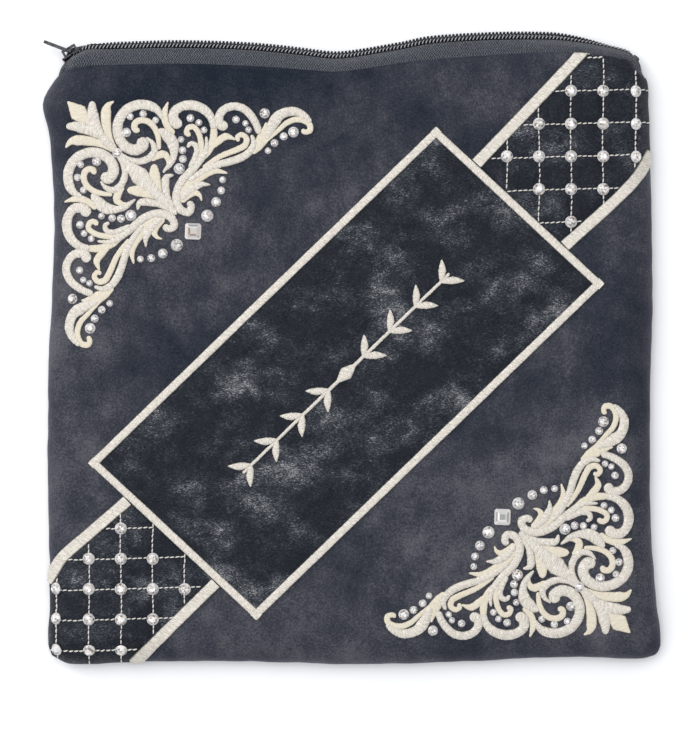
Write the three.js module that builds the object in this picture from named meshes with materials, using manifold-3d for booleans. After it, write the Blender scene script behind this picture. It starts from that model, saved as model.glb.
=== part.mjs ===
// A quilted velvet bag for a prayer shawl. It lies on its back with the zipper pulled open.
// Millimetres and degrees, +Z up, the decorated front upwards, the zipper towards +Y.
// The origin is on the underside, below the middle of the bag.
import * as THREE from "three";
import { mergeVertices } from "three/addons/utils/BufferGeometryUtils.js";
import Module from "manifold-3d";

const wasm = await Module();
wasm.setup();

// Bag
const bagWidth = 250;
const bagHeight = 244;
const wall = 2.2;
const seamHeight = 5.5;
const seamGap = 0.3;
const frontRise = 12.5;
const mouthRise = 8.8;
const mouthRoll = 26;
const frontRoll = 14;
const backRoll = 10;
const gridStep = 18;
const backGridStep = 25;

// Applied work on the front
const clearance = 0.3;
const layerGap = 0.4;
const appliqueThickness = 1.0;
const satinHeight = 1.9;
const reliefHeight = 1.2;
const panelLength = 198.7;
const panelWidth = 94.6;
const panelTurn = -0.3;
const panelSkew = 3;
const panelCentre = { x: -1.6, y: -3.2 };
const borderWidth = 3.65;
const bandLineWidth = 5.2;
const bandSpacing = 49.5;

// Stones
const stoneDiameter = 4.8;
const stoneHeight = 1.9;
const largeStoneDiameter = 5.6;
const squareStoneSide = 6.6;
const stoneTable = 0.56;

// Corner ornament: one hundred parts are one arm
const armLength = 100.4;
const strokeStep = 7.5;

// Zipper
const tapeWidth = 7.4;
const tapeThickness = 0.8;
const coilWidth = 2.6;
const coilHeight = 1.9;
const chainHeight = 7.5;
const channelOffset = 2.6;
const sliderLength = 9;
const sliderFrontWidth = 9.6;
const sliderRearWidth = 7.2;
const plateThickness = 0.8;
const channelSlack = 0.5;
const dividerWidth = 1.6;
const flangeWidth = 0.6;
const slotHeight = 2.3;
const bailLength = 6.4;
const bailWidth = 1.8;
const bailThickness = 0.9;
const bailRise = 2.2;
const tabLength = 11.6;
const tabWidth = 5;
const tabThickness = 1.2;
const tabTurn = 127;
const crossbarDiameter = 0.9;
const stopLength = 2.4;
const stopWidth = 2.6;
const stopHeight = 2.4;

// Finishes seen on the bag
const finish = (name, color, roughness, metalness = 0) =>
  new THREE.MeshStandardMaterial({ name, color, roughness, metalness });
const velvet = finish("velvet", 0x2c2f3a, 0.9);
const crushedVelvet = finish("crushed velvet", 0x15181f, 0.8);
const satinThread = finish("satin thread", 0xd9d2c6, 0.5);
const creamThread = finish("cream thread", 0xdccdb5, 0.7);
const tapeCloth = finish("zipper tape", 0x4a4c55, 0.9);
const coilNylon = finish("coil nylon", 0x17181c, 0.4);
const darkMetal = finish("dark metal", 0x55565a, 0.4, 0.9);
const crystal = finish("crystal", 0xf2f3f5, 0.1);

// Outline, from the cuff at the bottom to the mouth: side edges as shares of the width
const sideRows = [
  { up: 0.0, left: -0.492, right: 0.508 },
  { up: 0.02, left: -0.498, right: 0.514 },
  { up: 0.09, left: -0.495, right: 0.507 },
  { up: 0.24, left: -0.499, right: 0.497 },
  { up: 0.49, left: -0.499, right: 0.497 },
  { up: 0.59, left: -0.494, right: 0.5 },
  { up: 0.74, left: -0.489, right: 0.499 },
  { up: 0.85, left: -0.494, right: 0.495 },
  { up: 0.9, left: -0.499, right: 0.494 },
  { up: 0.945, left: -0.508, right: 0.492 },
  { up: 0.98, left: -0.49, right: 0.49 },
  { up: 1.0, left: -0.474, right: 0.48 },
];
// Bottom fold and top hem as shares of the height, from the left edge to the right
const hemRows = [
  { across: 0.0, bottom: -0.49, top: 0.499 },
  { across: 0.03, bottom: -0.504, top: 0.503 },
  { across: 0.12, bottom: -0.502, top: 0.505 },
  { across: 0.2, bottom: -0.501, top: 0.506 },
  { across: 0.31, bottom: -0.501, top: 0.503 },
  { across: 0.42, bottom: -0.504, top: 0.496 },
  { across: 0.48, bottom: -0.506, top: 0.493 },
  { across: 0.58, bottom: -0.505, top: 0.507 },
  { across: 0.66, bottom: -0.502, top: 0.515 },
  { across: 0.82, bottom: -0.495, top: 0.525 },
  { across: 0.88, bottom: -0.494, top: 0.525 },
  { across: 0.97, bottom: -0.497, top: 0.514 },
  { across: 1.0, bottom: -0.49, top: 0.499 },
];
// Soft folds of the front: place and reach as shares of the size, rise as a share of the front's rise
const foldRows = [
  { x: -0.3, y: 0.36, heading: 8, long: 0.2, wide: 0.03, rise: -0.06 },
  { x: 0.04, y: 0.4, heading: 80, long: 0.12, wide: 0.05, rise: -0.09 },
  { x: 0.3, y: 0.44, heading: -12, long: 0.14, wide: 0.03, rise: 0.05 },
  { x: -0.4, y: 0.1, heading: 85, long: 0.2, wide: 0.04, rise: 0.05 },
  { x: 0.3, y: -0.12, heading: 30, long: 0.22, wide: 0.06, rise: -0.05 },
  { x: -0.02, y: -0.44, heading: 4, long: 0.25, wide: 0.04, rise: -0.05 },
];

const radians = THREE.MathUtils.degToRad;
const degrees = THREE.MathUtils.radToDeg;
const clamp = THREE.MathUtils.clamp;
const vector = (x, y, z = 0) => new THREE.Vector3(x, y, z);
const compass = (heading) => vector(Math.cos(radians(heading)), Math.sin(radians(heading)));

// A smooth curve through one column of a table, read at a place along another column
function readRow(rows, key, column, at) {
  let k = 0;
  while (k < rows.length - 2 && rows[k + 1][key] < at) k += 1;
  const slope = (n) => {
    const before = rows[Math.max(n - 1, 0)];
    const after = rows[Math.min(n + 1, rows.length - 1)];
    return (after[column] - before[column]) / (after[key] - before[key]);
  };
  const from = rows[k];
  const to = rows[k + 1];
  const span = to[key] - from[key];
  const u = clamp((at - from[key]) / span, 0, 1);
  const v = 1 - u;
  return (
    from[column] * v * v * (1 + 2 * u) +
    to[column] * u * u * (3 - 2 * u) +
    slope(k) * span * u * v * v -
    slope(k + 1) * span * u * u * v
  );
}

// Plan of the bag: across and up run from 0 to 1
const leftEdge = (up) => bagWidth * readRow(sideRows, "up", "left", up);
const rightEdge = (up) => bagWidth * readRow(sideRows, "up", "right", up);
const bottomFold = (across) => bagHeight * readRow(hemRows, "across", "bottom", across);
const topHem = (across) => bagHeight * readRow(hemRows, "across", "top", across);
const plan = (across, up) =>
  vector(
    THREE.MathUtils.lerp(leftEdge(up), rightEdge(up), across),
    THREE.MathUtils.lerp(bottomFold(across), topHem(across), up),
  );

// A quarter ellipse from 0 at the edge to 1 where the roll ends
const rollShare = (distance, roll) => {
  const left = 1 - clamp(distance / roll, 0, 1);
  return Math.sqrt(1 - left * left);
};

function foldHeight(x, y) {
  let height = 0;
  for (const row of foldRows) {
    const reach = vector(x - row.x * bagWidth, y - row.y * bagHeight);
    const along = reach.dot(compass(row.heading)) / (row.long * bagWidth);
    const aside = reach.dot(compass(row.heading + 90)) / (row.wide * bagWidth);
    height += row.rise * frontRise * Math.exp(-along * along - aside * aside);
  }
  return height;
}

// One panel's outer or inner face. depth is 0 outside and the wall's thickness inside.
function frontPoint(across, up, depth) {
  const p = plan(across, up);
  const left = across * bagWidth;
  const right = (1 - across) * bagWidth;
  const low = up * bagHeight;
  const high = (1 - up) * bagHeight;
  const sides = rollShare(Math.min(left, right), frontRoll) * rollShare(low, frontRoll);
  const rise = mouthRise + (frontRise - mouthRise) * rollShare(high, mouthRoll);
  const outer = sides * (rise + foldHeight(p.x, p.y));
  const inset = (distance) => depth * Math.max(0, 1 - distance / frontRoll);
  return vector(
    p.x + inset(left) - inset(right),
    p.y + inset(low),
    seamHeight + seamGap / 2 + outer - depth * sides,
  );
}
function backPoint(across, up, depth) {
  const p = plan(across, up);
  const left = across * bagWidth;
  const right = (1 - across) * bagWidth;
  const low = up * bagHeight;
  const sides = rollShare(Math.min(left, right), backRoll) * rollShare(low, backRoll);
  const rim = seamHeight - seamGap / 2;
  const inset = (distance) => depth * Math.max(0, 1 - distance / backRoll);
  return vector(
    p.x + inset(left) - inset(right),
    p.y + inset(low),
    rim - rim * sides + depth * sides,
  );
}

// Grid lines: close together on the rolled edges, even across the middle
function gridShares(length, roll, step) {
  const near = [0, 0.134, 0.5, 1].map((share) => (share * roll) / length);
  const inner = 1 - 2 * near[3];
  const count = Math.max(2, Math.round((inner * length) / step));
  const middle = [];
  for (let k = 1; k < count; k += 1) middle.push(near[3] + (inner * k) / count);
  return [...near, ...middle, ...near.map((share) => 1 - share).reverse()];
}

// A closed body between two grids of points with the same rows
function slabGeometry(top, bottom) {
  const rows = top.length;
  const columns = top[0].length;
  const at = (i, j, side) => side * rows * columns + i * columns + j;
  const faces = [];
  const quad = (a, b, c, d) => faces.push(a, b, c, a, c, d);
  for (let i = 0; i < rows - 1; i += 1) {
    for (let j = 0; j < columns - 1; j += 1) {
      quad(at(i, j, 0), at(i + 1, j, 0), at(i + 1, j + 1, 0), at(i, j + 1, 0));
      quad(at(i, j, 1), at(i, j + 1, 1), at(i + 1, j + 1, 1), at(i + 1, j, 1));
    }
  }
  const lastRow = rows - 1;
  const lastColumn = columns - 1;
  for (let i = 0; i < lastRow; i += 1) {
    quad(at(i, 0, 1), at(i + 1, 0, 1), at(i + 1, 0, 0), at(i, 0, 0));
    quad(
      at(i + 1, lastColumn, 1),
      at(i, lastColumn, 1),
      at(i, lastColumn, 0),
      at(i + 1, lastColumn, 0),
    );
  }
  for (let j = 0; j < lastColumn; j += 1) {
    quad(at(0, j + 1, 1), at(0, j, 1), at(0, j, 0), at(0, j + 1, 0));
    quad(at(lastRow, j, 1), at(lastRow, j + 1, 1), at(lastRow, j + 1, 0), at(lastRow, j, 0));
  }
  const geometry = new THREE.BufferGeometry().setFromPoints([...top.flat(), ...bottom.flat()]);
  geometry.setIndex(faces);
  return geometry;
}

function panelGeometry(pointAt, roll, step, topDepth, bottomDepth) {
  const across = gridShares(bagWidth, roll, step);
  const up = gridShares(bagHeight, roll, step);
  const face = (depth) => across.map((s) => up.map((t) => pointAt(s, t, depth)));
  return slabGeometry(face(topDepth), face(bottomDepth));
}

// Solids for joining and cutting
function solidOf(geometry) {
  const bare = geometry.clone();
  bare.deleteAttribute("normal");
  bare.deleteAttribute("uv");
  const merged = mergeVertices(bare, 1e-4);
  return new wasm.Manifold(
    new wasm.Mesh({
      numProp: 3,
      vertProperties: new Float32Array(merged.attributes.position.array),
      triVerts: new Uint32Array(merged.index.array),
    }),
  );
}
function geometryOf(solid) {
  const mesh = solid.getMesh();
  const geometry = new THREE.BufferGeometry();
  geometry.setAttribute("position", new THREE.BufferAttribute(mesh.vertProperties, 3));
  geometry.setIndex(new THREE.BufferAttribute(mesh.triVerts, 1));
  return geometry;
}
const joined = (solids) => solids.reduce((whole, solid) => whole.add(solid));

// A layer that follows the front between two heights above it, clear of the rolled rims
function layerSolid(low, high) {
  const across = gridShares(bagWidth, frontRoll, gridStep).slice(1, -1);
  const up = gridShares(bagHeight, frontRoll, gridStep).slice(1, -1);
  const lifted = (height) =>
    across.map((s) => up.map((t) => frontPoint(s, t, 0).add(vector(0, 0, height))));
  return solidOf(slabGeometry(lifted(high), lifted(low)));
}
const cutterDepth = seamHeight + frontRise + 20;
function prismSolid(outline, holes = []) {
  const shape = new THREE.Shape(outline.map((p) => new THREE.Vector2(p.x, p.y)));
  for (const hole of holes) {
    shape.holes.push(new THREE.Path(hole.map((p) => new THREE.Vector2(p.x, p.y))));
  }
  return solidOf(new THREE.ExtrudeGeometry(shape, { depth: cutterDepth, bevelEnabled: false }));
}

const bag = new THREE.Group();
function addMesh(name, geometry, material) {
  const mesh = new THREE.Mesh(geometry, material);
  mesh.name = name;
  bag.add(mesh);
  return mesh;
}

// Panels
const frontPanel = addMesh(
  "bag_front_panel",
  panelGeometry(frontPoint, frontRoll, gridStep, 0, wall),
  velvet,
);
addMesh(
  "bag_back_panel",
  panelGeometry(backPoint, backRoll, backGridStep, wall, 0),
  velvet,
);

// Layers of the applied work
const appliqueLayer = layerSolid(layerGap, layerGap + appliqueThickness);
const satinLayer = layerSolid(layerGap, layerGap + satinHeight);
const reliefLayer = layerSolid(layerGap, layerGap + reliefHeight);
const sprigBase = layerGap + appliqueThickness + clearance;
const sprigLayer = layerSolid(sprigBase, sprigBase + reliefHeight);

// Centre panel: a parallelogram on the bag's diagonal, in its own long and short directions
const panelHeading = degrees(Math.atan2(bagHeight, bagWidth)) + panelTurn;
const longWay = compass(panelHeading);
const shortWay = compass(panelHeading - 90 + panelSkew);
const panelPoint = (along, aside) =>
  vector(panelCentre.x, panelCentre.y)
    .addScaledVector(longWay, along)
    .addScaledVector(shortWay, aside);
const panelOutline = (inset) => {
  const along = panelLength / 2 - inset;
  const aside = panelWidth / 2 - inset;
  return [
    panelPoint(-along, aside),
    panelPoint(along, aside),
    panelPoint(along, -aside),
    panelPoint(-along, -aside),
  ];
};
addMesh(
  "centre_panel",
  geometryOf(appliqueLayer.intersect(prismSolid(panelOutline(borderWidth + clearance)))),
  crushedVelvet,
);
addMesh(
  "centre_border",
  geometryOf(
    satinLayer.intersect(prismSolid(panelOutline(0), [panelOutline(borderWidth).reverse()])),
  ),
  satinThread,
);

// Corner bands run from the centre panel's short ends to the bag's edges
const farOut = bagWidth / 2;
const bandEnds = [
  { name: "upper", end: 1, leftTurn: 3.5, rightTurn: 0.8 },
  { name: "lower", end: -1, leftTurn: 0, rightTurn: -2 },
];
for (const band of bandEnds) {
  const start = band.end * (panelLength / 2 + clearance);
  const outward = panelHeading + (band.end > 0 ? 0 : 180);
  const root = (aside) => panelPoint(start, band.end * aside);
  const line = (side) => {
    const turn = side < 0 ? band.leftTurn : band.rightTurn;
    const centre = root((side * bandSpacing) / 2);
    const ahead = compass(outward + turn);
    const beside = shortWay.clone().multiplyScalar(band.end);
    const half = bandLineWidth / 2;
    const near = (offset) => centre.clone().addScaledVector(beside, offset);
    const far = (offset) => near(offset).addScaledVector(ahead, farOut);
    return { near, far, half };
  };
  const left = line(-1);
  const right = line(1);
  for (const [side, edge] of [["left", left], ["right", right]]) {
    const outline = [
      edge.near(-edge.half),
      edge.far(-edge.half),
      edge.far(edge.half),
      edge.near(edge.half),
    ];
    if (THREE.ShapeUtils.area(outline) < 0) outline.reverse();
    addMesh(
      "band_line_" + band.name + "_" + side,
      geometryOf(satinLayer.intersect(prismSolid(outline))),
      satinThread,
    );
  }
  const inset = bandLineWidth / 2 + clearance;
  const field = [left.near(inset), left.far(inset), right.far(-inset), right.near(-inset)];
  if (THREE.ShapeUtils.area(field) < 0) field.reverse();
  addMesh(
    "corner_band_" + band.name,
    geometryOf(appliqueLayer.intersect(prismSolid(field))),
    crushedVelvet,
  );
}

// Embroidered strokes: a centre line through a few points, with widths spread evenly along it
function strokeSections(through, widths, step) {
  const curve = new THREE.CatmullRomCurve3(through, false, "centripetal");
  const count = Math.max(2, Math.round(curve.getLength() / step));
  const sections = [];
  for (let k = 0; k <= count; k += 1) {
    const share = k / count;
    const place = share * (widths.length - 1);
    const low = Math.min(Math.floor(place), widths.length - 2);
    const width = THREE.MathUtils.lerp(widths[low], widths[low + 1], place - low);
    const point = curve.getPointAt(share);
    const ahead = curve.getTangentAt(share);
    const aside = vector(-ahead.y, ahead.x).multiplyScalar(width / 2);
    sections.push([point.clone().add(aside), point.clone().sub(aside)]);
  }
  return sections;
}
// The corners in order round their middle, so that a tight bend doesn't cross itself
function roundTheMiddle(corners) {
  const middle = corners.reduce((sum, p) => sum.add(p), vector(0, 0)).divideScalar(corners.length);
  const bearing = (p) => Math.atan2(p.y - middle.y, p.x - middle.x);
  return [...corners].sort((a, b) => bearing(a) - bearing(b));
}
function strokeSolid(through, widths, step) {
  const sections = strokeSections(through, widths, step);
  const pieces = [];
  for (let k = 1; k < sections.length; k += 1) {
    const [nearLeft, nearRight] = sections[k - 1];
    const [farLeft, farRight] = sections[k];
    pieces.push(prismSolid(roundTheMiddle([nearRight, farRight, farLeft, nearLeft])));
  }
  return joined(pieces);
}

// Half of the corner ornament: places and widths in hundredths of an arm from its outer corner.
// thread is satin or cream. mirror false marks what lies on the ornament's own diagonal.
const strokeRows = [
  {
    name: "corner kite",
    thread: "cream",
    mirror: false,
    through: [[0.6, 0.6], [4.8, 4.8], [7.8, 7.8], [14, 14]],
    widths: [0.5, 7.6, 2.8, 1],
  },
  {
    name: "satin petal",
    thread: "satin",
    mirror: true,
    through: [[10.7, 0.3], [10.9, 5.2], [12.6, 11.1], [15.5, 16], [20.4, 21]],
    widths: [2.4, 5, 4.4, 3, 1.6],
  },
  {
    name: "cream petal",
    thread: "cream",
    mirror: true,
    through: [[19.5, 0.2], [17, 2.3], [16.4, 6.4], [17.1, 12.1], [18.8, 16.6], [21, 20.4]],
    widths: [0.6, 4.4, 4, 2.4, 1.4],
  },
  {
    name: "first scroll",
    thread: "satin",
    mirror: true,
    through: [
      [39.6, 7.2], [37.4, 3.6], [34.4, 1.9], [29.4, 1.5], [24.4, 4], [21.5, 9], [21.7, 14.4],
      [24.6, 18.6], [28.8, 19.9], [31.8, 17.6], [29.6, 15.6],
    ],
    widths: [1.6, 4, 4.2, 4.2, 4.4, 4.4, 4.8, 5],
  },
  {
    name: "first hook",
    thread: "cream",
    mirror: true,
    through: [
      [30.2, 12.4], [28.2, 11.2], [28.5, 8.9], [30.8, 7.8], [33.6, 8.3], [36, 10.4], [37.6, 13.6],
      [38.4, 19.6],
    ],
    widths: [2.6, 2.8, 2.6, 2.4, 1.6],
  },
  {
    name: "crescent",
    thread: "satin",
    mirror: true,
    through: [[33, 14.6], [35.6, 17], [36.5, 19.8], [34.8, 22.8], [30.4, 24.6], [26, 23.6], [22.6, 21.4]],
    widths: [0.8, 2.6, 3.2, 3, 2, 1.2],
  },
  {
    name: "thorn",
    thread: "cream",
    mirror: true,
    through: [[41.7, 0], [40.6, 3.3], [40.4, 6.6], [41.6, 10], [44.4, 13]],
    widths: [0.5, 2.4, 3, 2.8, 2],
  },
  {
    name: "body leaf",
    thread: "satin",
    mirror: true,
    through: [[38.1, 11.2], [41, 13.4], [43.6, 16.4], [44.4, 19.9], [43.8, 23.8], [40.1, 29.1]],
    widths: [2, 5, 5, 3, 2.6, 0.9],
  },
  {
    name: "hooked leaf",
    thread: "cream",
    mirror: true,
    through: [[35, 24.2], [37.8, 22], [40.7, 21.6], [42, 23.6], [41.8, 25.8]],
    widths: [1.6, 3.2, 3.4, 2.4, 0.8],
  },
  {
    name: "middle bud",
    thread: "satin",
    mirror: false,
    through: [[20.4, 20.4], [25.8, 25.8], [30.8, 30.8], [36, 36], [46, 46]],
    widths: [1.6, 3.4, 7.8, 5.4, 4, 2.4],
  },
  {
    name: "inner petal",
    thread: "cream",
    mirror: true,
    through: [[36.4, 25.6], [36.7, 30.2], [37.8, 34], [39.4, 38.4]],
    widths: [2.4, 4.8, 3.6, 1.4],
  },
  {
    name: "outer petal",
    thread: "satin",
    mirror: true,
    through: [[44.5, 29.9], [41.6, 30.9], [41.2, 34.3], [42.1, 38.5], [44.6, 43.2]],
    widths: [0.8, 3.4, 3.2, 2.2, 1.4],
  },
  {
    name: "main stem",
    thread: "satin",
    mirror: true,
    through: [
      [57.5, 13.8], [57.6, 19.6], [53, 26.5], [47.6, 32.7], [45.7, 38.9], [47.6, 44], [51, 45],
      [51.8, 42.2], [50.2, 41],
    ],
    widths: [1, 2.8, 3.4, 3.4, 3.6, 3.4, 3],
  },
  {
    name: "second scroll",
    thread: "satin",
    mirror: true,
    through: [
      [47.4, 9.8], [44.4, 8], [44.2, 4.4], [47.1, 2], [50.8, 1.3], [54.7, 2.1], [58, 4.4],
      [59.9, 7.4], [60.6, 11],
    ],
    widths: [4.8, 4.4, 3.8, 4.2, 4, 3.4, 2.8],
  },
  {
    name: "second scroll tail",
    thread: "cream",
    mirror: true,
    through: [[60.6, 9.4], [60.5, 14], [59.9, 17], [58.2, 20.5], [54.6, 24.6]],
    widths: [2.6, 3.2, 3.2, 2.6, 1.4],
  },
  {
    name: "second hook",
    thread: "cream",
    mirror: true,
    through: [
      [51, 13.8], [49.5, 12.4], [50.2, 10.5], [52.2, 10.1], [54, 12], [55.2, 15.4], [55.4, 19],
      [54.4, 22.8], [50.4, 28.4],
    ],
    widths: [2.4, 2.4, 2.4, 2.6, 2.6, 1.6],
  },
  {
    name: "small hook",
    thread: "satin",
    mirror: true,
    through: [[49.8, 18.6], [51.1, 16.9], [53, 17.4], [53.8, 19.6], [53, 23], [50.8, 27]],
    widths: [1.4, 2.4, 2.4, 2.6, 1.6],
  },
  {
    name: "third scroll",
    thread: "satin",
    mirror: true,
    through: [
      [66.2, 9.9], [63, 8.8], [62.8, 5.2], [65, 2.6], [69, 1.4], [73.2, 2.8], [76, 5.6],
      [77.9, 8.8], [79.2, 12.6],
    ],
    widths: [4.6, 3.8, 3.4, 3.4, 3.4, 3.2, 2.8],
  },
  {
    name: "third horn",
    thread: "cream",
    mirror: true,
    through: [[59.6, 18.6], [62.4, 15.8], [65.6, 13.8], [69.6, 15]],
    widths: [2, 3.2, 3, 0.6],
  },
  {
    name: "third hook",
    thread: "cream",
    mirror: true,
    through: [
      [70.8, 15.8], [70.2, 14], [72, 12.9], [74, 14.6], [73.4, 17.2], [70.4, 19], [63.6, 21.9],
      [56.4, 26.8],
    ],
    widths: [1.8, 2.4, 2.8, 2.6, 2.4, 2.2, 1.6],
  },
  {
    name: "long stem",
    thread: "satin",
    mirror: true,
    through: [
      [76, 12.9], [76.9, 16.6], [75.3, 19.9], [72.2, 22.2], [67.9, 23.9], [62, 25.6], [56, 28.5],
      [50.6, 32.4],
    ],
    widths: [1.4, 3, 3.4, 3.2, 3, 2.8, 2],
  },
  {
    name: "tail calyx",
    thread: "cream",
    mirror: true,
    through: [[76.4, 20.8], [78.6, 17.8], [80.4, 14.5], [81.4, 11.2], [81.9, 7.6]],
    widths: [1.4, 3.8, 5.2, 3.2, 0.7],
  },
  {
    name: "tail leaf",
    thread: "satin",
    mirror: true,
    through: [[82, 14.6], [84.6, 8.4], [87.4, 4.7], [90.8, 3.3], [94.3, 3.3], [97.7, 5], [100.3, 7.5]],
    widths: [2, 4, 5, 4, 3.8, 3, 1.8],
  },
  {
    name: "tail strand",
    thread: "cream",
    mirror: true,
    through: [
      [81.6, 16], [87.3, 10.5], [90.6, 7.6], [94.1, 6.4], [97.4, 6.8], [99.7, 8.6], [99.7, 10.9],
      [97.7, 11.4], [96.4, 10.4],
    ],
    widths: [1, 1.6, 2.2, 2.4, 2.6, 2.6, 2],
  },
  {
    name: "stem leaf",
    thread: "cream",
    mirror: true,
    through: [[47.4, 38.4], [51.1, 33.6], [55.5, 30], [61, 27.9], [66.6, 28.8]],
    widths: [2, 3.6, 4.6, 3, 0.6],
  },
  {
    name: "second stem leaf",
    thread: "satin",
    mirror: true,
    through: [[47.6, 40], [51.6, 35.6], [55.6, 33.6], [59.6, 33.6]],
    widths: [2, 3.6, 3.2, 0.6],
  },
  {
    name: "third stem leaf",
    thread: "cream",
    mirror: true,
    through: [[47.8, 41], [50.7, 37.9], [53.5, 37], [55.4, 38.2], [56.1, 40.3]],
    widths: [2, 3.2, 3.2, 2, 0.5],
  },
];

// Where each ornament starts, and how its two arms run
const ornamentRows = [
  { name: "upper_left", x: -0.4656, y: 0.4463, arm: -1, otherArm: -91, otherStretch: 1 },
  { name: "lower_right", x: 0.462, y: -0.4512, arm: 181.7, otherArm: 90, otherStretch: 0.935 },
];
const roundStonePlace = { a: 58.5, b: 46.3 };
const squareStonePlace = { a: 52.8, b: 52.8 };

for (const row of ornamentRows) {
  const corner = vector(row.x * bagWidth, row.y * bagHeight);
  const arm = compass(row.arm).multiplyScalar(armLength / 100);
  const otherArm = compass(row.otherArm).multiplyScalar((armLength * row.otherStretch) / 100);
  row.place = (a, b) => corner.clone().addScaledVector(arm, a).addScaledVector(otherArm, b);
  const solids = [];
  for (const stroke of strokeRows) {
    const widths = stroke.widths.map((width) => (width * armLength) / 100);
    const along = stroke.through.map(([a, b]) => row.place(a, b));
    solids.push(strokeSolid(along, widths, strokeStep));
    if (stroke.mirror) {
      const mirrored = stroke.through.map(([a, b]) => row.place(b, a));
      solids.push(strokeSolid(mirrored, widths, strokeStep));
    }
  }
  addMesh(
    "corner_embroidery_" + row.name,
    geometryOf(reliefLayer.intersect(joined(solids))),
    creamThread,
  );
}

// Leaf sprig along the middle of the centre panel
const sprigLength = 118;
const sprigStemWidth = 1.6;
const leafLength = 9.5;
const leafWidth = 3.4;
const leafPairs = 4;
const leafLean = 42;
const lozengeLength = 11;
const lozengeWidth = 6;
function sprigSolid() {
  const half = sprigLength / 2;
  const stem = [panelPoint(-half, 0), panelPoint(0, 0), panelPoint(half, 0)];
  const pieces = [strokeSolid(stem, [sprigStemWidth, sprigStemWidth], half)];
  const lozenge = [
    panelPoint(-lozengeLength / 2, 0),
    panelPoint(0, 0),
    panelPoint(lozengeLength / 2, 0),
  ];
  pieces.push(strokeSolid(lozenge, [0.6, lozengeWidth, 0.6], lozengeLength / 2));
  for (const side of [-1, 1]) {
    for (const end of [-1, 1]) {
      for (let k = 1; k <= leafPairs; k += 1) {
        const foot = panelPoint((end * half * (k - 0.35)) / leafPairs, 0);
        const lean = panelHeading + (end > 0 ? 0 : 180) + end * side * leafLean;
        const tip = foot.clone().addScaledVector(compass(lean), leafLength);
        const middle = foot.clone().lerp(tip, 0.5);
        pieces.push(strokeSolid([foot, middle, tip], [0.7, leafWidth, 0.5], leafLength / 4));
      }
    }
  }
  return joined(pieces);
}
addMesh(
  "centre_sprig",
  geometryOf(sprigLayer.intersect(sprigSolid())),
  satinThread,
);

// Stones: a flat back, eight crown facets and a table
function stoneGeometry(outline) {
  const count = outline.length;
  const rim = outline.map((p) => vector(p.x, p.y, 0));
  const table = outline.map((p) => vector(p.x * stoneTable, p.y * stoneTable, stoneHeight));
  const faces = [];
  for (let k = 0; k < count; k += 1) {
    const next = (k + 1) % count;
    faces.push(k, next, count + next, k, count + next, count + k);
    if (k > 0 && k < count - 1) {
      faces.push(0, k + 1, k);
      faces.push(count, count + k, count + k + 1);
    }
  }
  const geometry = new THREE.BufferGeometry().setFromPoints([...rim, ...table]);
  geometry.setIndex(faces);
  return geometry;
}
const roundOutline = (diameter) => {
  const facets = 8;
  const outline = [];
  for (let k = 0; k < facets; k += 1) {
    outline.push(compass((360 * (k + 0.5)) / facets).multiplyScalar(diameter / 2));
  }
  return outline;
};
const squareOutline = (side) => {
  const half = side / 2;
  const cut = half * 0.8;
  return [
    vector(half, -cut), vector(half, cut), vector(cut, half), vector(-cut, half),
    vector(-half, cut), vector(-half, -cut), vector(-cut, -half), vector(cut, -half),
  ];
};

// Height of the front below a plan point, found by looking straight down on it
const caster = new THREE.Raycaster();
function frontHeight(x, y) {
  caster.set(vector(x, y, cutterDepth), vector(0, 0, -1));
  return caster.intersectObject(frontPanel, false)[0].point.z;
}
// Lays a stone on what is carried at a height above the front, clear of it under the whole back
function seatStone(name, outline, place, above) {
  const reach = Math.max(...outline.map((p) => p.length()));
  const slope = (dx, dy) =>
    (frontHeight(place.x + dx, place.y + dy) - frontHeight(place.x - dx, place.y - dy)) /
    (2 * reach);
  const up = vector(-slope(reach, 0), -slope(0, reach), 1).normalize();
  const turn = new THREE.Quaternion().setFromUnitVectors(vector(0, 0, 1), up);
  const seat = vector(place.x, place.y, frontHeight(place.x, place.y) + above);
  let lift = 0;
  for (const corner of outline) {
    for (const share of [0.4, 0.7, 1]) {
      const under = corner.clone().multiplyScalar(share).applyQuaternion(turn).add(seat);
      const high = frontHeight(under.x, under.y) + above - under.z;
      lift = Math.max(lift, high * up.z);
    }
  }
  const mesh = addMesh(name, stoneGeometry(outline), crystal);
  mesh.quaternion.copy(turn);
  mesh.position.copy(seat).addScaledVector(up, lift + clearance);
}
const onBand = layerGap + appliqueThickness;

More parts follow.
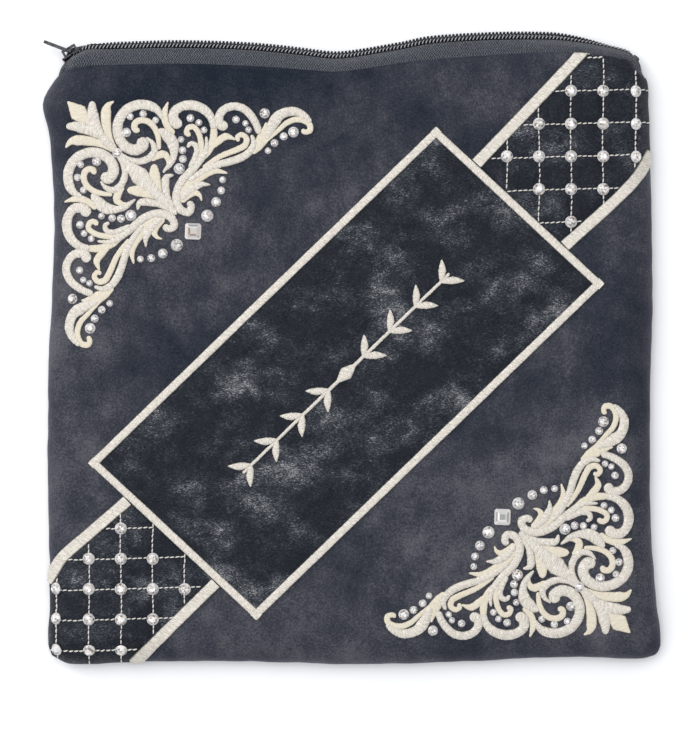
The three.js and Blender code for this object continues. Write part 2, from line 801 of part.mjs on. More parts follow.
// Stitched squares on the corner bands, with a stone on the crossings that the chart names.
// The squares fill what the centre panel leaves of the diagonal, and stay between the band's lines.
// sideRoom and endRoom are from the outermost crossings to the bag's edges.
const stitchRows = [
  { name: "upper", way: 1, columns: 1, rows: 1.019, sideRoom: 8.1, endRoom: 9.5 },
  { name: "lower", way: -1, columns: 0.996, rows: 0.943, sideRoom: 4.9, endRoom: 5.6 },
];
const stoneChart = [
  { row: 2, first: 0, last: 2 },
  { row: 1, first: -1, last: 2 },
  { row: 0, first: -2, last: 2 },
  { row: -1, first: -1, last: 1 },
  { row: -2, first: 0, last: 0 },
];
const chartReach = 2;
const freeDiagonal = Math.hypot(bagWidth, bagHeight) / 2 - panelLength / 2;
const stitchPitch = Math.min(0.1747 * freeDiagonal, 0.2657 * bandSpacing);
for (const patch of stitchRows) {
  const columnPitch = patch.columns * stitchPitch;
  const rowPitch = patch.rows * stitchPitch;
  const far = vector(
    bagWidth / 2 - patch.sideRoom - chartReach * columnPitch - patch.way * panelCentre.x,
    bagHeight / 2 - patch.endRoom - chartReach * rowPitch - patch.way * panelCentre.y,
  );
  const along = Math.min(far.x / longWay.x, far.y / longWay.y);
  const anchor = panelPoint(patch.way * along, 0);
  let count = 0;
  for (const { row, first, last } of stoneChart) {
    for (let column = first; column <= last; column += 1) {
      const step = vector(column * columnPitch, row * rowPitch).multiplyScalar(patch.way);
      count += 1;
      const name = "band_crystal_" + patch.name + "_" + count;
      seatStone(name, roundOutline(stoneDiameter), anchor.clone().add(step), onBand);
    }
  }
}

// The largest stones of each corner ornament
for (const row of ornamentRows) {
  const { a, b } = roundStonePlace;
  seatStone(
    "round_crystal_" + row.name + "_1",
    roundOutline(largeStoneDiameter),
    row.place(a, b),
    0,
  );
  seatStone(
    "round_crystal_" + row.name + "_2",
    roundOutline(largeStoneDiameter),
    row.place(b, a),
    0,
  );
  seatStone(
    "square_crystal_" + row.name,
    squareOutline(squareStoneSide),
    row.place(squareStonePlace.a, squareStonePlace.b),
    0,
  );
}

// Zipper halves, from the slider to the far end. Each section is a curve from the hem to the tape's
// outer edge: edge and knee are places beyond the hem and heights, as shares of the tape's width.
const frontChainRows = [
  { at: -0.458, edge: 0.53, edgeHeight: 0.574, knee: 0.53, kneeHeight: 1.25 },
  { at: -0.45, edge: 0.665, edgeHeight: 0.574, knee: 0.665, kneeHeight: 1.25 },
  { at: -0.442, edge: 0.81, edgeHeight: 0.574, knee: 0.8, kneeHeight: 1.25 },
  { at: -0.436, edge: 0.89, edgeHeight: 0.59, knee: 0.85, kneeHeight: 1.2 },
  { at: -0.4232, edge: 0.95, edgeHeight: 0.64, knee: 0.84, kneeHeight: 1.0 },
  { at: -0.41, edge: 0.92, edgeHeight: 0.7, knee: 0.63, kneeHeight: 0.95 },
  { at: -0.377, edge: 0.93, edgeHeight: 0.72, knee: 0.5, kneeHeight: 0.87 },
  { at: -0.28, edge: 0.945, edgeHeight: 0.72, knee: 0.5, kneeHeight: 0.86 },
  { at: -0.18, edge: 0.945, edgeHeight: 0.71, knee: 0.5, kneeHeight: 0.85 },
  { at: -0.115, edge: 0.91, edgeHeight: 0.7, knee: 0.49, kneeHeight: 0.86 },
  { at: -0.049, edge: 0.8, edgeHeight: 0.68, knee: 0.46, kneeHeight: 0.92 },
  { at: -0.008, edge: 0.77, edgeHeight: 0.66, knee: 0.45, kneeHeight: 0.92 },
  { at: 0.082, edge: 0.8, edgeHeight: 0.68, knee: 0.46, kneeHeight: 0.92 },
  { at: 0.131, edge: 0.94, edgeHeight: 0.72, knee: 0.5, kneeHeight: 0.86 },
  { at: 0.23, edge: 0.9, edgeHeight: 0.72, knee: 0.49, kneeHeight: 0.88 },
  { at: 0.328, edge: 0.73, edgeHeight: 0.7, knee: 0.43, kneeHeight: 1.0 },
  { at: 0.377, edge: 0.63, edgeHeight: 0.66, knee: 0.43, kneeHeight: 1.02 },
  { at: 0.426, edge: 0.52, edgeHeight: 0.56, knee: 0.42, kneeHeight: 0.95 },
  { at: 0.457, edge: 0.45, edgeHeight: 0.48, knee: 0.38, kneeHeight: 0.86 },
  { at: 0.465, edge: 0.44, edgeHeight: 0.47, knee: 0.37, kneeHeight: 0.84 },
];
const backChainRows = [
  { at: -0.458, edge: 0.53, edgeHeight: -0.574, knee: 0.53, kneeHeight: -0.88 },
  { at: -0.45, edge: 0.665, edgeHeight: -0.574, knee: 0.665, kneeHeight: -0.88 },
  { at: -0.442, edge: 0.81, edgeHeight: -0.574, knee: 0.8, kneeHeight: -0.88 },
  { at: -0.436, edge: 0.9, edgeHeight: -0.59, knee: 0.88, kneeHeight: -0.88 },
  { at: -0.4232, edge: 0.98, edgeHeight: -0.62, knee: 0.82, kneeHeight: -0.88 },
  { at: -0.41, edge: 1.0, edgeHeight: -0.66, knee: 0.62, kneeHeight: -0.88 },
  { at: -0.377, edge: 1.04, edgeHeight: -0.7, knee: 0.54, kneeHeight: -0.88 },
  { at: -0.28, edge: 1.08, edgeHeight: -0.72, knee: 0.54, kneeHeight: -0.88 },
  { at: -0.18, edge: 1.08, edgeHeight: -0.72, knee: 0.54, kneeHeight: -0.88 },
  { at: -0.115, edge: 1.04, edgeHeight: -0.72, knee: 0.54, kneeHeight: -0.88 },
  { at: -0.049, edge: 0.93, edgeHeight: -0.7, knee: 0.51, kneeHeight: -0.88 },
  { at: -0.008, edge: 0.9, edgeHeight: -0.7, knee: 0.49, kneeHeight: -0.88 },
  { at: 0.082, edge: 0.93, edgeHeight: -0.7, knee: 0.51, kneeHeight: -0.88 },
  { at: 0.131, edge: 1.08, edgeHeight: -0.72, knee: 0.54, kneeHeight: -0.88 },
  { at: 0.23, edge: 1.05, edgeHeight: -0.72, knee: 0.54, kneeHeight: -0.88 },
  { at: 0.328, edge: 0.9, edgeHeight: -0.68, knee: 0.51, kneeHeight: -0.88 },
  { at: 0.377, edge: 0.76, edgeHeight: -0.62, knee: 0.51, kneeHeight: -0.88 },
  { at: 0.426, edge: 0.6, edgeHeight: -0.56, knee: 0.52, kneeHeight: -0.88 },
  { at: 0.457, edge: 0.54, edgeHeight: -0.54, knee: 0.48, kneeHeight: -0.86 },
  { at: 0.465, edge: 0.53, edgeHeight: -0.53, knee: 0.47, kneeHeight: -0.85 },
];
const tapeSteps = 3;

// The hem as the panel's mesh has it: straight between the panel's grid lines
function hemLine(pointAt, roll, step) {
  return gridShares(bagWidth, roll, step).map((share) => pointAt(share, 1, wall / 2));
}
function hemAt(line, x) {
  const k = clamp(line.findIndex((p) => p.x > x), 1, line.length - 1);
  const share = (x - line[k - 1].x) / (line[k].x - line[k - 1].x);
  return line[k - 1].clone().lerp(line[k], share);
}
// One cross-section of a zipper half: the hem point, the knee and the tape's outer edge
function chainSection(rows, line, at) {
  const x = at * bagWidth;
  const hem = hemAt(line, x);
  const value = (column) => readRow(rows, "at", column, at) * tapeWidth;
  const from = vector(x, hem.y + clearance + 0.8 * tapeThickness, hem.z);
  const knee = vector(x, hem.y + value("knee"), chainHeight + value("kneeHeight"));
  const edge = vector(x, hem.y + value("edge"), chainHeight + value("edgeHeight"));
  return new THREE.QuadraticBezierCurve3(from, knee, edge);
}
// Stations at the hem's own corners, with more where the tape turns into the slider
const sliderStations = [-0.453, -0.447, -0.44, -0.4316, -0.4232, -0.41, -0.395];
function chainStations(line, first, last) {
  const corners = line.map((p) => p.x / bagWidth);
  const inside = [...sliderStations, ...corners]
    .filter((at) => at > first && at < last)
    .sort((a, b) => a - b);
  const spaced = [first];
  for (const at of inside) {
    const needed = corners.includes(at) ? 0.001 : 0.004;
    if (at - spaced.at(-1) > needed && last - at > 0.001) spaced.push(at);
  }
  return [...spaced, last];
}

// Tape: a thin slab with its thickness across the surface that the sections make
function tapeGeometry(rows, line) {
  const stations = chainStations(line, tapeFirst, chainLast);
  const grid = stations.map((at) => chainSection(rows, line, at).getPoints(tapeSteps));
  const shifted = (distance) =>
    grid.map((line, i) =>
      line.map((p, j) => {
        const before = grid[Math.max(i - 1, 0)][j];
        const after = grid[Math.min(i + 1, grid.length - 1)][j];
        const inner = line[Math.max(j - 1, 0)];
        const outer = line[Math.min(j + 1, line.length - 1)];
        const along = after.clone().sub(before);
        const normal = along.cross(outer.clone().sub(inner)).normalize();
        return p.clone().addScaledVector(normal, distance);
      }),
    );
  return slabGeometry(shifted(tapeThickness / 2), shifted(-tapeThickness / 2));
}

// Coil: a six-sided rail beyond the tape's edge, in line with it
function coilFrames(rows, line, first, last) {
  const sections = chainStations(line, first, last).map((at) => chainSection(rows, line, at));
  const edges = sections.map((section) => section.getPoint(1));
  return sections.map((section, k) => {
    const before = edges[Math.max(k - 1, 0)];
    const after = edges[Math.min(k + 1, edges.length - 1)];
    const along = after.clone().sub(before).normalize();
    const normal = along.clone().cross(section.getTangent(1)).normalize();
    const side = normal.clone().cross(along).normalize();
    const centre = edges[k].clone().addScaledVector(side, 1.35 * clearance + coilWidth / 2);
    return { centre, along, normal, side };
  });
}
function coilGeometry(rows, line, first, last) {
  const frames = coilFrames(rows, line, first, last);
  const sections = frames.map(({ centre, normal, side }) => {
    const corner = (w, n) =>
      centre
        .clone()
        .addScaledVector(side, (w * coilWidth) / 2)
        .addScaledVector(normal, (n * coilHeight) / 2);
    return [
      corner(-1, -0.5), corner(0, -1), corner(1, -0.5), corner(1, 0.5), corner(0, 1), corner(-1, 0.5),
    ];
  });
  const sides = sections[0].length;
  const faces = [];
  const at = (i, j) => i * sides + (j % sides);
  for (let i = 0; i < sections.length - 1; i += 1) {
    for (let j = 0; j < sides; j += 1) {
      faces.push(at(i, j), at(i + 1, j), at(i + 1, j + 1), at(i, j), at(i + 1, j + 1), at(i, j + 1));
    }
  }
  const end = sections.length - 1;
  for (let j = 1; j < sides - 1; j += 1) {
    faces.push(at(0, 0), at(0, j), at(0, j + 1));
    faces.push(at(end, 0), at(end, j + 1), at(end, j));
  }
  const geometry = new THREE.BufferGeometry().setFromPoints(sections.flat());
  geometry.setIndex(faces);
  return geometry;
}

const frontHem = hemLine(frontPoint, frontRoll, gridStep);
const backHem = hemLine(backPoint, backRoll, backGridStep);
const coilFirst = -0.4548;
const tapeFirst = coilFirst + 0.0025;
const chainLast = frontChainRows.at(-1).at;
const facingOut = (geometry) => {
  const solid = solidOf(geometry);
  if (solid.volume() > 0) return geometry;
  const index = geometry.index.array;
  for (let k = 0; k < index.length; k += 3) [index[k], index[k + 1]] = [index[k + 1], index[k]];
  return geometry;
};
addMesh("zipper_tape_front", facingOut(tapeGeometry(frontChainRows, frontHem)), tapeCloth);
addMesh("zipper_tape_back", facingOut(tapeGeometry(backChainRows, backHem)), tapeCloth);
addMesh(
  "zipper_coil_front",
  facingOut(coilGeometry(frontChainRows, frontHem, coilFirst, chainLast)),
  coilNylon,
);
addMesh(
  "zipper_coil_back",
  facingOut(coilGeometry(backChainRows, backHem, coilFirst, chainLast)),
  coilNylon,
);

// Top stops: small metal clips in line with the coils' free ends
function stopMesh(name, rows, line) {
  const { centre, along, normal, side } = coilFrames(rows, line, coilFirst, chainLast).at(-1);
  const mesh = addMesh(name, new THREE.BoxGeometry(stopLength, stopWidth, stopHeight), darkMetal);
  mesh.quaternion.setFromRotationMatrix(new THREE.Matrix4().makeBasis(along, side, normal));
  mesh.position.copy(centre).addScaledVector(along, stopLength / 2 + 1.5 * clearance);
}
stopMesh("top_stop_front", frontChainRows, frontHem);
stopMesh("top_stop_back", backChainRows, backHem);

// Slider, drawn in its own frame: x along the chain, y across its width, z away from the bag
const channelHeight = coilHeight + 2 * channelSlack;
const plateBottom = channelHeight / 2;
const plateTop = plateBottom + plateThickness;
const slab = (outline, low, high) => {
  const shape = new THREE.Shape(outline.map(([x, y]) => new THREE.Vector2(x, y)));
  const geometry = new THREE.ExtrudeGeometry(shape, { depth: high - low, bevelEnabled: false });
  return solidOf(geometry.translate(0, 0, low));
};
const block = (x0, x1, y0, y1, z0, z1) =>
  slab([[x0, y0], [x1, y0], [x1, y1], [x0, y1]], z0, z1);
function sliderSolid() {
  const nose = sliderLength / 2;
  const tail = -sliderLength / 2;
  const front = sliderFrontWidth / 2;
  const rear = sliderRearWidth / 2;
  const waist = tail + sliderLength * 0.45;
  const outline = [
    [tail, -rear * 0.8], [tail + rear * 0.2, -rear], [waist, -rear], [waist + 1, -front],
    [nose - 1, -front], [nose, -front * 0.7], [nose, front * 0.7], [nose - 1, front],
    [waist + 1, front], [waist, rear], [tail + rear * 0.2, rear], [tail, rear * 0.8],
  ];
  const pieces = [slab(outline, plateBottom, plateTop), slab(outline, -plateTop, -plateBottom)];
  const flange = (low, high) => {
    for (const side of [-1, 1]) {
      const inner = side * (front - flangeWidth);
      const outer = side * front;
      const lowY = Math.min(inner, outer);
      pieces.push(block(waist + 1, nose - 1, lowY, lowY + flangeWidth, low, high));
    }
  };
  flange(slotHeight / 2, plateBottom);
  flange(-plateBottom, -slotHeight / 2);
  const half = dividerWidth / 2;
  const divider = [[waist + 1.4, 0], [nose - 0.4, -half], [nose, -half], [nose, half], [nose - 0.4, half]];
  pieces.push(slab(divider, -plateBottom, plateBottom));
  const reach = bailLength / 2;
  const bailSide = bailWidth / 2;
  const under = plateTop + bailRise;
  pieces.push(block(-reach, reach, -bailSide, bailSide, under, under + bailThickness));
  pieces.push(block(-reach, -reach + bailThickness, -bailSide, bailSide, plateTop, under));
  pieces.push(block(reach - bailThickness, reach, -bailSide, bailSide, plateTop, under));
  return joined(pieces);
}
// The slider sits where the two coils meet, and points the way they leave it
const chainMiddle = (at) => {
  const front = coilFrames(frontChainRows, frontHem, at, chainLast)[0].centre;
  const back = coilFrames(backChainRows, backHem, at, chainLast)[0].centre;
  return front.add(back).multiplyScalar(0.5);
};
const sliderCentre = chainMiddle(coilFirst);
const sliderNose = chainMiddle(coilFirst + (0.45 * sliderLength) / bagWidth);
const sliderHeading = degrees(
  Math.atan2(sliderNose.y - sliderCentre.y, sliderNose.x - sliderCentre.x),
);
const sliderGroup = new THREE.Group();
const chainWay = compass(sliderHeading);
const outWay = compass(sliderHeading + 90);
sliderGroup.matrixAutoUpdate = false;
sliderGroup.matrix
  .makeBasis(chainWay, vector(0, 0, -1), outWay)
  .setPosition(sliderCentre.x, sliderCentre.y, chainHeight);
const slider = new THREE.Mesh(geometryOf(sliderSolid()), darkMetal);
slider.name = "zipper_slider";
sliderGroup.add(slider);
bag.add(sliderGroup);

// Pull tab: it turns about the crossbar that passes under the bail
const pivotHeight = plateTop + bailRise / 2;
const pivot = vector(sliderCentre.x, sliderCentre.y, chainHeight).addScaledVector(outWay, pivotHeight);
function tabSolid() {
  const half = tabWidth / 2;
  const bar = crossbarDiameter / 2;
  const yoke = Math.hypot(bailLength / 2, bailRise / 2 + bailThickness) + 1.2 * clearance;
  const arm = (half - bailWidth / 2 - clearance) * 0.8;
  const pieces = [
    block(-bar, bar, -half, half, -bar, bar),
    block(-bar, yoke + 0.6, half - arm, half, -tabThickness / 2, tabThickness / 2),
    block(-bar, yoke + 0.6, -half, -half + arm, -tabThickness / 2, tabThickness / 2),
  ];
  const outline = [
    [yoke, -half], [tabLength - 1.4, -half], [tabLength, -half + 1.4], [tabLength, half - 1.4],
    [tabLength - 1.4, half], [yoke, half],
  ];
  const plate = slab(outline, -tabThickness / 2, tabThickness / 2);
  const hole = block(
    tabLength - 4.2, tabLength - 1.4, -half + 1.4, half - 1.4, -tabThickness, tabThickness,
  );
  return joined([...pieces, plate.subtract(hole)]);
}
const tabHeading = sliderHeading + tabTurn;
const tabGroup = new THREE.Group();
tabGroup.matrixAutoUpdate = false;
tabGroup.matrix
  .makeBasis(compass(tabHeading), vector(0, 0, -1), compass(tabHeading + 90))
  .setPosition(pivot);
const pullTab = new THREE.Mesh(geometryOf(tabSolid()), darkMetal);
pullTab.name = "pull_tab";
tabGroup.add(pullTab);
bag.add(tabGroup);

export default bag;
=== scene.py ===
# %% [markdown]
# # A velvet bag for a prayer shawl
# The bag lies flat on a pale floor, its decorated front upwards and its zipper pulled open.
# The imported CAD model is the fixed frame: it gives every place and size. Each soft or sewn piece is
# then made again as a finer surface in the same place, and takes a procedural finish.

# %% The frame, and a helper that measures the visual box
import bmesh
import bpy
import numpy as np
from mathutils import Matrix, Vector


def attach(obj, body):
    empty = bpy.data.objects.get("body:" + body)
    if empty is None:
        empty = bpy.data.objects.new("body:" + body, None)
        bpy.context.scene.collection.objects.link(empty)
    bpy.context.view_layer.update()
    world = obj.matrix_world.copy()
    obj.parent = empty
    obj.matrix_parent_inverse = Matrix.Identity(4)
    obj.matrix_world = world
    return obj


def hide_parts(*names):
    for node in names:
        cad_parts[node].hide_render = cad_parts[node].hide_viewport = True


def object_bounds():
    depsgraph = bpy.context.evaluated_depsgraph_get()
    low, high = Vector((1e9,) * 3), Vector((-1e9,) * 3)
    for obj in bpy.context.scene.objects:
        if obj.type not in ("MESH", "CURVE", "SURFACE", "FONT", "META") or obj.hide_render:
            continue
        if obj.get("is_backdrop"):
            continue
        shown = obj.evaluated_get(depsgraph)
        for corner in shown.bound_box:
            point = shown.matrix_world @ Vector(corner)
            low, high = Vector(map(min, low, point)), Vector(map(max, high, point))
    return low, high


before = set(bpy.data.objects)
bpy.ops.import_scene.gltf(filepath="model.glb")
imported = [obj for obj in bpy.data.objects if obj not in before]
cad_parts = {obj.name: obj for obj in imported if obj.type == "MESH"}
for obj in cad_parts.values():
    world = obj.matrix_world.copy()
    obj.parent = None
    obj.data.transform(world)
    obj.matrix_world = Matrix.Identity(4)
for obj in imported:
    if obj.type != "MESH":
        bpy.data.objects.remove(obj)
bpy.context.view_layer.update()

BAG = "bag"
TAB = "pull_tab"
MM = 0.001

# %% [markdown]
# ## Curves and soft waves
# Cloth has no straight edge, so each outline is a smooth curve through a short table, and each
# unevenness is a sum of a few long waves. Both are formulas of whole arrays, so thousands of points
# cost no more lines than one.

# %% Curves through tables, rolled edges and waves


def table_curve(at, keys, values):
    """A cubic through each pair of table rows, whose slope at a row is that of its two neighbours."""
    keys, values = np.asarray(keys, float), np.asarray(values, float)
    last = len(keys) - 1
    low, high = np.maximum(np.arange(last + 1) - 1, 0), np.minimum(np.arange(last + 1) + 1, last)
    slope = (values[high] - values[low]) / (keys[high] - keys[low])
    k = np.clip(np.searchsorted(keys, at) - 1, 0, last - 1)
    span = keys[k + 1] - keys[k]
    u = np.clip((at - keys[k]) / span, 0, 1)
    v = 1 - u
    return (values[k] * v * v * (1 + 2 * u) + values[k + 1] * u * u * (3 - 2 * u)
            + slope[k] * span * u * v * v - slope[k + 1] * span * u * u * v)


def roll_share(distance, roll):
    """A quarter ellipse: 0 at the edge, 1 where the roll ends."""
    return np.sqrt(np.maximum(0, 1 - (1 - np.clip(distance / roll, 0, 1)) ** 2))


def waves(x, y, seed, shortest, longest, count=14):
    """The sum of plane waves of seeded heading, phase and length, scaled to swing about -1 to 1."""
    draw = np.random.default_rng(seed)
    heading, phase = draw.uniform(0, 2 * np.pi, (2, count))
    length = np.exp(draw.uniform(np.log(shortest), np.log(longest), count))
    total = 0
    for h, p, size in zip(heading, phase, length):
        total = total + np.sin(2 * np.pi * (x * np.cos(h) + y * np.sin(h)) / size + p)
    return total / np.sqrt(count) / 1.3


def compass(heading):
    """The unit direction of a heading in degrees, counted from +X towards +Y."""
    return np.array([np.cos(np.radians(heading)), np.sin(np.radians(heading))])


print("waves at three points:", np.round(waves(np.array([0, 10, 20.0]), 0, 1, 20, 60), 2))

# %% [markdown]
# ## The bag's outline and its two faces
# Two panels of padded velvet are sewn together round three sides and turned out, so each face curves
# down to the seam like a shallow cushion. A cloth simulation could swell them, but the outline and the
# height of the folds are known, so a formula of two shares, across and up, holds them better.

# %% Outline tables and the front's height

WIDTH, HEIGHT = 250.0, 244.0
SEAM_HEIGHT = 5.5
WALL = 2.2
FRONT_RISE, MOUTH_RISE, MOUTH_ROLL = 12.5, 8.8, 26.0
FRONT_ROLL, BACK_ROLL = 14.0, 10.0
SEAM_GAP = 0.03
EDGE_PUCKER = 0.16
SLOW_WAVES, QUICK_WAVES = 0.28, 0.07
RIM_MARGIN = 0.12

side_up = [0, .02, .09, .24, .49, .59, .74, .85, .9, .945, .98, 1]
side_left = [-.492, -.498, -.495, -.499, -.499, -.494, -.489, -.494, -.499, -.508, -.49, -.474]
side_right = [.508, .514, .507, .497, .497, .5, .499, .495, .494, .492, .49, .48]
hem_across = [0, .03, .12, .2, .31, .42, .48, .58, .66, .82, .88, .97, 1]
hem_bottom = [-.49, -.504, -.502, -.501, -.501, -.504, -.506, -.505, -.502, -.495, -.494, -.497, -.49]
hem_top = [.499, .503, .505, .506, .503, .496, .493, .507, .515, .525, .525, .514, .499]

# place, heading, reach along and aside as shares of the width, and rise as a share of the front's
fold_rows = [
    (-.3, .36, 8, .2, .03, -.06), (.04, .4, 80, .12, .05, -.09), (.3, .44, -12, .14, .03, .05),
    (-.4, .1, 85, .2, .04, .05), (.3, -.12, 30, .22, .06, -.05), (-.02, -.44, 4, .25, .04, -.05),
]


def pucker(place, seed):
    """How far a sewn edge wanders at a place along it: waves of 9 to 40 mm."""
    return EDGE_PUCKER * waves(place, 0 * place, seed, 9, 40)


def plan(across, up):
    """The plan point: x between the two side edges at that height, y between fold and hem."""
    left = WIDTH * table_curve(up, side_up, side_left) + pucker(up * HEIGHT, 11)
    right = WIDTH * table_curve(up, side_up, side_right) + pucker(up * HEIGHT, 12)
    bottom = HEIGHT * table_curve(across, hem_across, hem_bottom) + pucker(across * WIDTH, 13)
    top = HEIGHT * table_curve(across, hem_across, hem_top)
    return left + (right - left) * across, bottom + (top - bottom) * up


def shares_at(x, y):
    """The two shares of a plan point, found by trying again from the last answer."""
    across, up = np.full(np.shape(x), 0.5), np.full(np.shape(x), 0.5)
    for _ in range(8):
        left, bottom = plan(np.zeros_like(up), up)[0], plan(across, np.zeros_like(up))[1]
        right, top = plan(np.ones_like(up), up)[0], plan(across, np.ones_like(up))[1]
        across = np.clip((x - left) / (right - left), 0, 1)
        up = np.clip((y - bottom) / (top - bottom), 0, 1)
    return across, up


# %% [markdown]
# ## The centre panel's own directions
# A parallelogram lies along the bag's diagonal. Its long and short ways are used for its cloth, its
# satin border, the bands beyond its ends and the furrows that the sewing presses into the velvet.

# %% Centre panel axes, band lines and furrows

PANEL_LENGTH, PANEL_WIDTH = 198.7, 94.6
PANEL_HEADING = np.degrees(np.arctan2(HEIGHT, WIDTH)) - 0.3
LONG_WAY, SHORT_WAY = compass(PANEL_HEADING), compass(PANEL_HEADING - 87)
PANEL_CENTRE = np.array([-1.6, -3.2])
BAND_SPACING = 49.5
BORDER_WIDTH, LINE_WIDTH = 3.65, 5.2
BORDER_FURROW, BORDER_FADE = 0.6, 2.6
LINE_FURROW, LINE_FADE = 0.5, 3.6

# each satin line beside a band: its root on the panel, the bends seen on the bag, and its last heading
line_rows = {
    "upper_left": (1, -1, [(94.7, 127.7)], 47.6),
    "upper_right": (1, 1, [(111.5, 70.4), (118.2, 78.1), (122.1, 84.7)], 59.4),
    "lower_left": (-1, -1, [(-89.0, -122.3)], 223.1),
    "lower_right": (-1, 1, [(-107.1, -69.1), (-117.7, -78.7), (-122.9, -86.8)], 237.3),
}


def panel_point(along, aside):
    """A plan point, from its places along the panel's long and short ways."""
    return PANEL_CENTRE + np.multiply.outer(along, LONG_WAY) + np.multiply.outer(aside, SHORT_WAY)


def panel_places(x, y):
    """The reverse: places along the two ways, which don't stand quite square to each other."""
    ways = np.linalg.inv(np.stack([LONG_WAY, SHORT_WAY], axis=1))
    dx, dy = x - PANEL_CENTRE[0], y - PANEL_CENTRE[1]
    return ways[0, 0] * dx + ways[0, 1] * dy, ways[1, 0] * dx + ways[1, 1] * dy


def line_path(name):
    """The centre line of a satin line, carried on past the bag's edge."""
    end, side, bends, heading = line_rows[name]
    root = panel_point(end * (PANEL_LENGTH / 2 + 0.2), end * side * BAND_SPACING / 2)
    far = np.array(bends[-1]) + 60 * compass(heading)
    return np.array([root, *bends, far])


def distance_to(x, y, path):
    """The shortest distance from each plan point to a line of straight pieces."""
    nearest = np.full(np.shape(x), 1e9)
    for (ax, ay), (bx, by) in zip(path[:-1], path[1:]):
        length = (bx - ax) ** 2 + (by - ay) ** 2
        t = np.clip(((x - ax) * (bx - ax) + (y - ay) * (by - ay)) / length, 0, 1)
        nearest = np.minimum(nearest, np.hypot(x - ax - t * (bx - ax), y - ay - t * (by - ay)))
    return nearest


def furrow(x, y):
    """Sewing pulls the velvet down beside the border and the lines: a dip that fades over 3 mm."""
    along, aside = panel_places(x, y)
    outside = np.hypot(np.maximum(abs(along) - PANEL_LENGTH / 2, 0),
                       np.maximum(abs(aside) - PANEL_WIDTH / 2, 0))
    dip = BORDER_FURROW * np.exp(-(outside / BORDER_FADE) ** 2)
    beyond = 1 - np.exp(-(outside / 5) ** 2)
    for name in line_rows:
        near = np.exp(-(distance_to(x, y, line_path(name)) / LINE_FADE) ** 2)
        dip = np.maximum(dip, LINE_FURROW * beyond * near)
    return dip


def front_height(across, up):
    """Height of the front: a seam, a rise that rolls down at the sides, folds, waves and furrows."""
    x, y = plan(across, up)
    sides = roll_share(np.minimum(across, 1 - across) * WIDTH, FRONT_ROLL)
    sides = sides * roll_share(up * HEIGHT, FRONT_ROLL)
    rise = MOUTH_RISE + (FRONT_RISE - MOUTH_RISE) * roll_share((1 - up) * HEIGHT, MOUTH_ROLL)
    for fx, fy, heading, long, wide, share in fold_rows:
        dx, dy = x - fx * WIDTH, y - fy * HEIGHT
        (cx, cy), (sx, sy) = compass(heading), compass(heading + 90)
        along, aside = (dx * cx + dy * cy) / (long * WIDTH), (dx * sx + dy * sy) / (wide * WIDTH)
        rise = rise + share * FRONT_RISE * np.exp(-along ** 2 - aside ** 2)
    rise = rise + SLOW_WAVES * waves(x, y, 21, 26, 80) + QUICK_WAVES * waves(x, y, 22, 7, 16)
    return SEAM_HEIGHT + SEAM_GAP + sides * (rise - furrow(x, y))


def lay_on_front(x, y, above):
    """Points carried at a height above the front, along its own slope, and kept within its rim."""
    across, up = shares_at(x, y)
    edge = RIM_MARGIN / WIDTH
    across, up = np.clip(across, edge, 1 - edge), np.clip(up, edge, 1)
    px, py = plan(across, up)
    z = front_height(across, up)
    step = 0.25
    slope_x = (front_height(np.clip(across + step / WIDTH, edge, 1 - edge), up)
               - front_height(np.clip(across - step / WIDTH, edge, 1 - edge), up)) / (2 * step)
    slope_y = (front_height(across, np.clip(up + step / HEIGHT, edge, 1))
               - front_height(across, np.clip(up - step / HEIGHT, edge, 1))) / (2 * step)
    size = np.sqrt(1 + slope_x ** 2 + slope_y ** 2)
    return np.stack([px - above * slope_x / size, py - above * slope_y / size, z + above / size], -1)


print("height at the middle:", round(float(front_height(np.array(.5), np.array(.5))), 2), "mm")

# %% [markdown]
# ## From grids of points to pieces
# A cloth piece is a grid of points with an outer and an inner face, closed round its rim. A thread,
# a cord or a coil is a profile carried along a path. One helper turns either into a Blender object at
# the origin, and says which body it rides on and which finish it takes.

# %% Mesh helpers


def grid_faces(rows, columns, wrap=False):
    """Quads of a grid, row by row; wrap joins the last column to the first."""
    i, j = np.meshgrid(np.arange(rows - 1), np.arange(columns - (0 if wrap else 1)), indexing="ij")
    right = (j + 1) % columns
    quads = [i * columns + j, (i + 1) * columns + j, (i + 1) * columns + right, i * columns + right]
    return np.stack(quads, -1).reshape(-1, 4)


def add_piece(name, points, faces, materials, slot, body=BAG, replaces=(), uv=None,
              face_material=None, smooth=True, colours=None):
    """A Blender object at the origin from points in mm and faces, riding on a body of the frame."""
    mesh = bpy.data.meshes.new(name)
    points = np.asarray(points, float).reshape(-1, 3) * MM
    mesh.from_pydata(points, [], faces.tolist() if isinstance(faces, np.ndarray) else faces)
    materials = materials if isinstance(materials, (list, tuple)) else [materials]
    for material in materials:
        mesh.materials.append(material)
    if face_material is not None:
        mesh.polygons.foreach_set("material_index", np.asarray(face_material, np.int32))
    mesh.polygons.foreach_set("use_smooth", np.full(len(mesh.polygons), smooth))
    if uv is not None:
        corner = np.empty(len(mesh.loops), np.int32)
        mesh.loops.foreach_get("vertex_index", corner)
        layer = mesh.uv_layers.new(name="UVMap")
        layer.uv.foreach_set("vector", np.asarray(uv, float).reshape(-1, 2)[corner].ravel())
    if colours is not None:
        layer = mesh.color_attributes.new("facet", "FLOAT_COLOR", "CORNER")
        counts = np.empty(len(mesh.polygons), np.int32)
        mesh.polygons.foreach_get("loop_total", counts)
        four = np.concatenate([colours, np.ones((len(colours), 1))], 1)
        layer.data.foreach_set("color", np.repeat(four, counts, axis=0).ravel())
    mesh.validate()
    mesh.update()
    piece = bpy.data.objects.new(name, mesh)
    bpy.context.scene.collection.objects.link(piece)
    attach(piece, body)
    if replaces:
        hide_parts(*replaces)
    print(f"{name}: {len(mesh.vertices)} points, {len(mesh.polygons)} faces")
    return piece


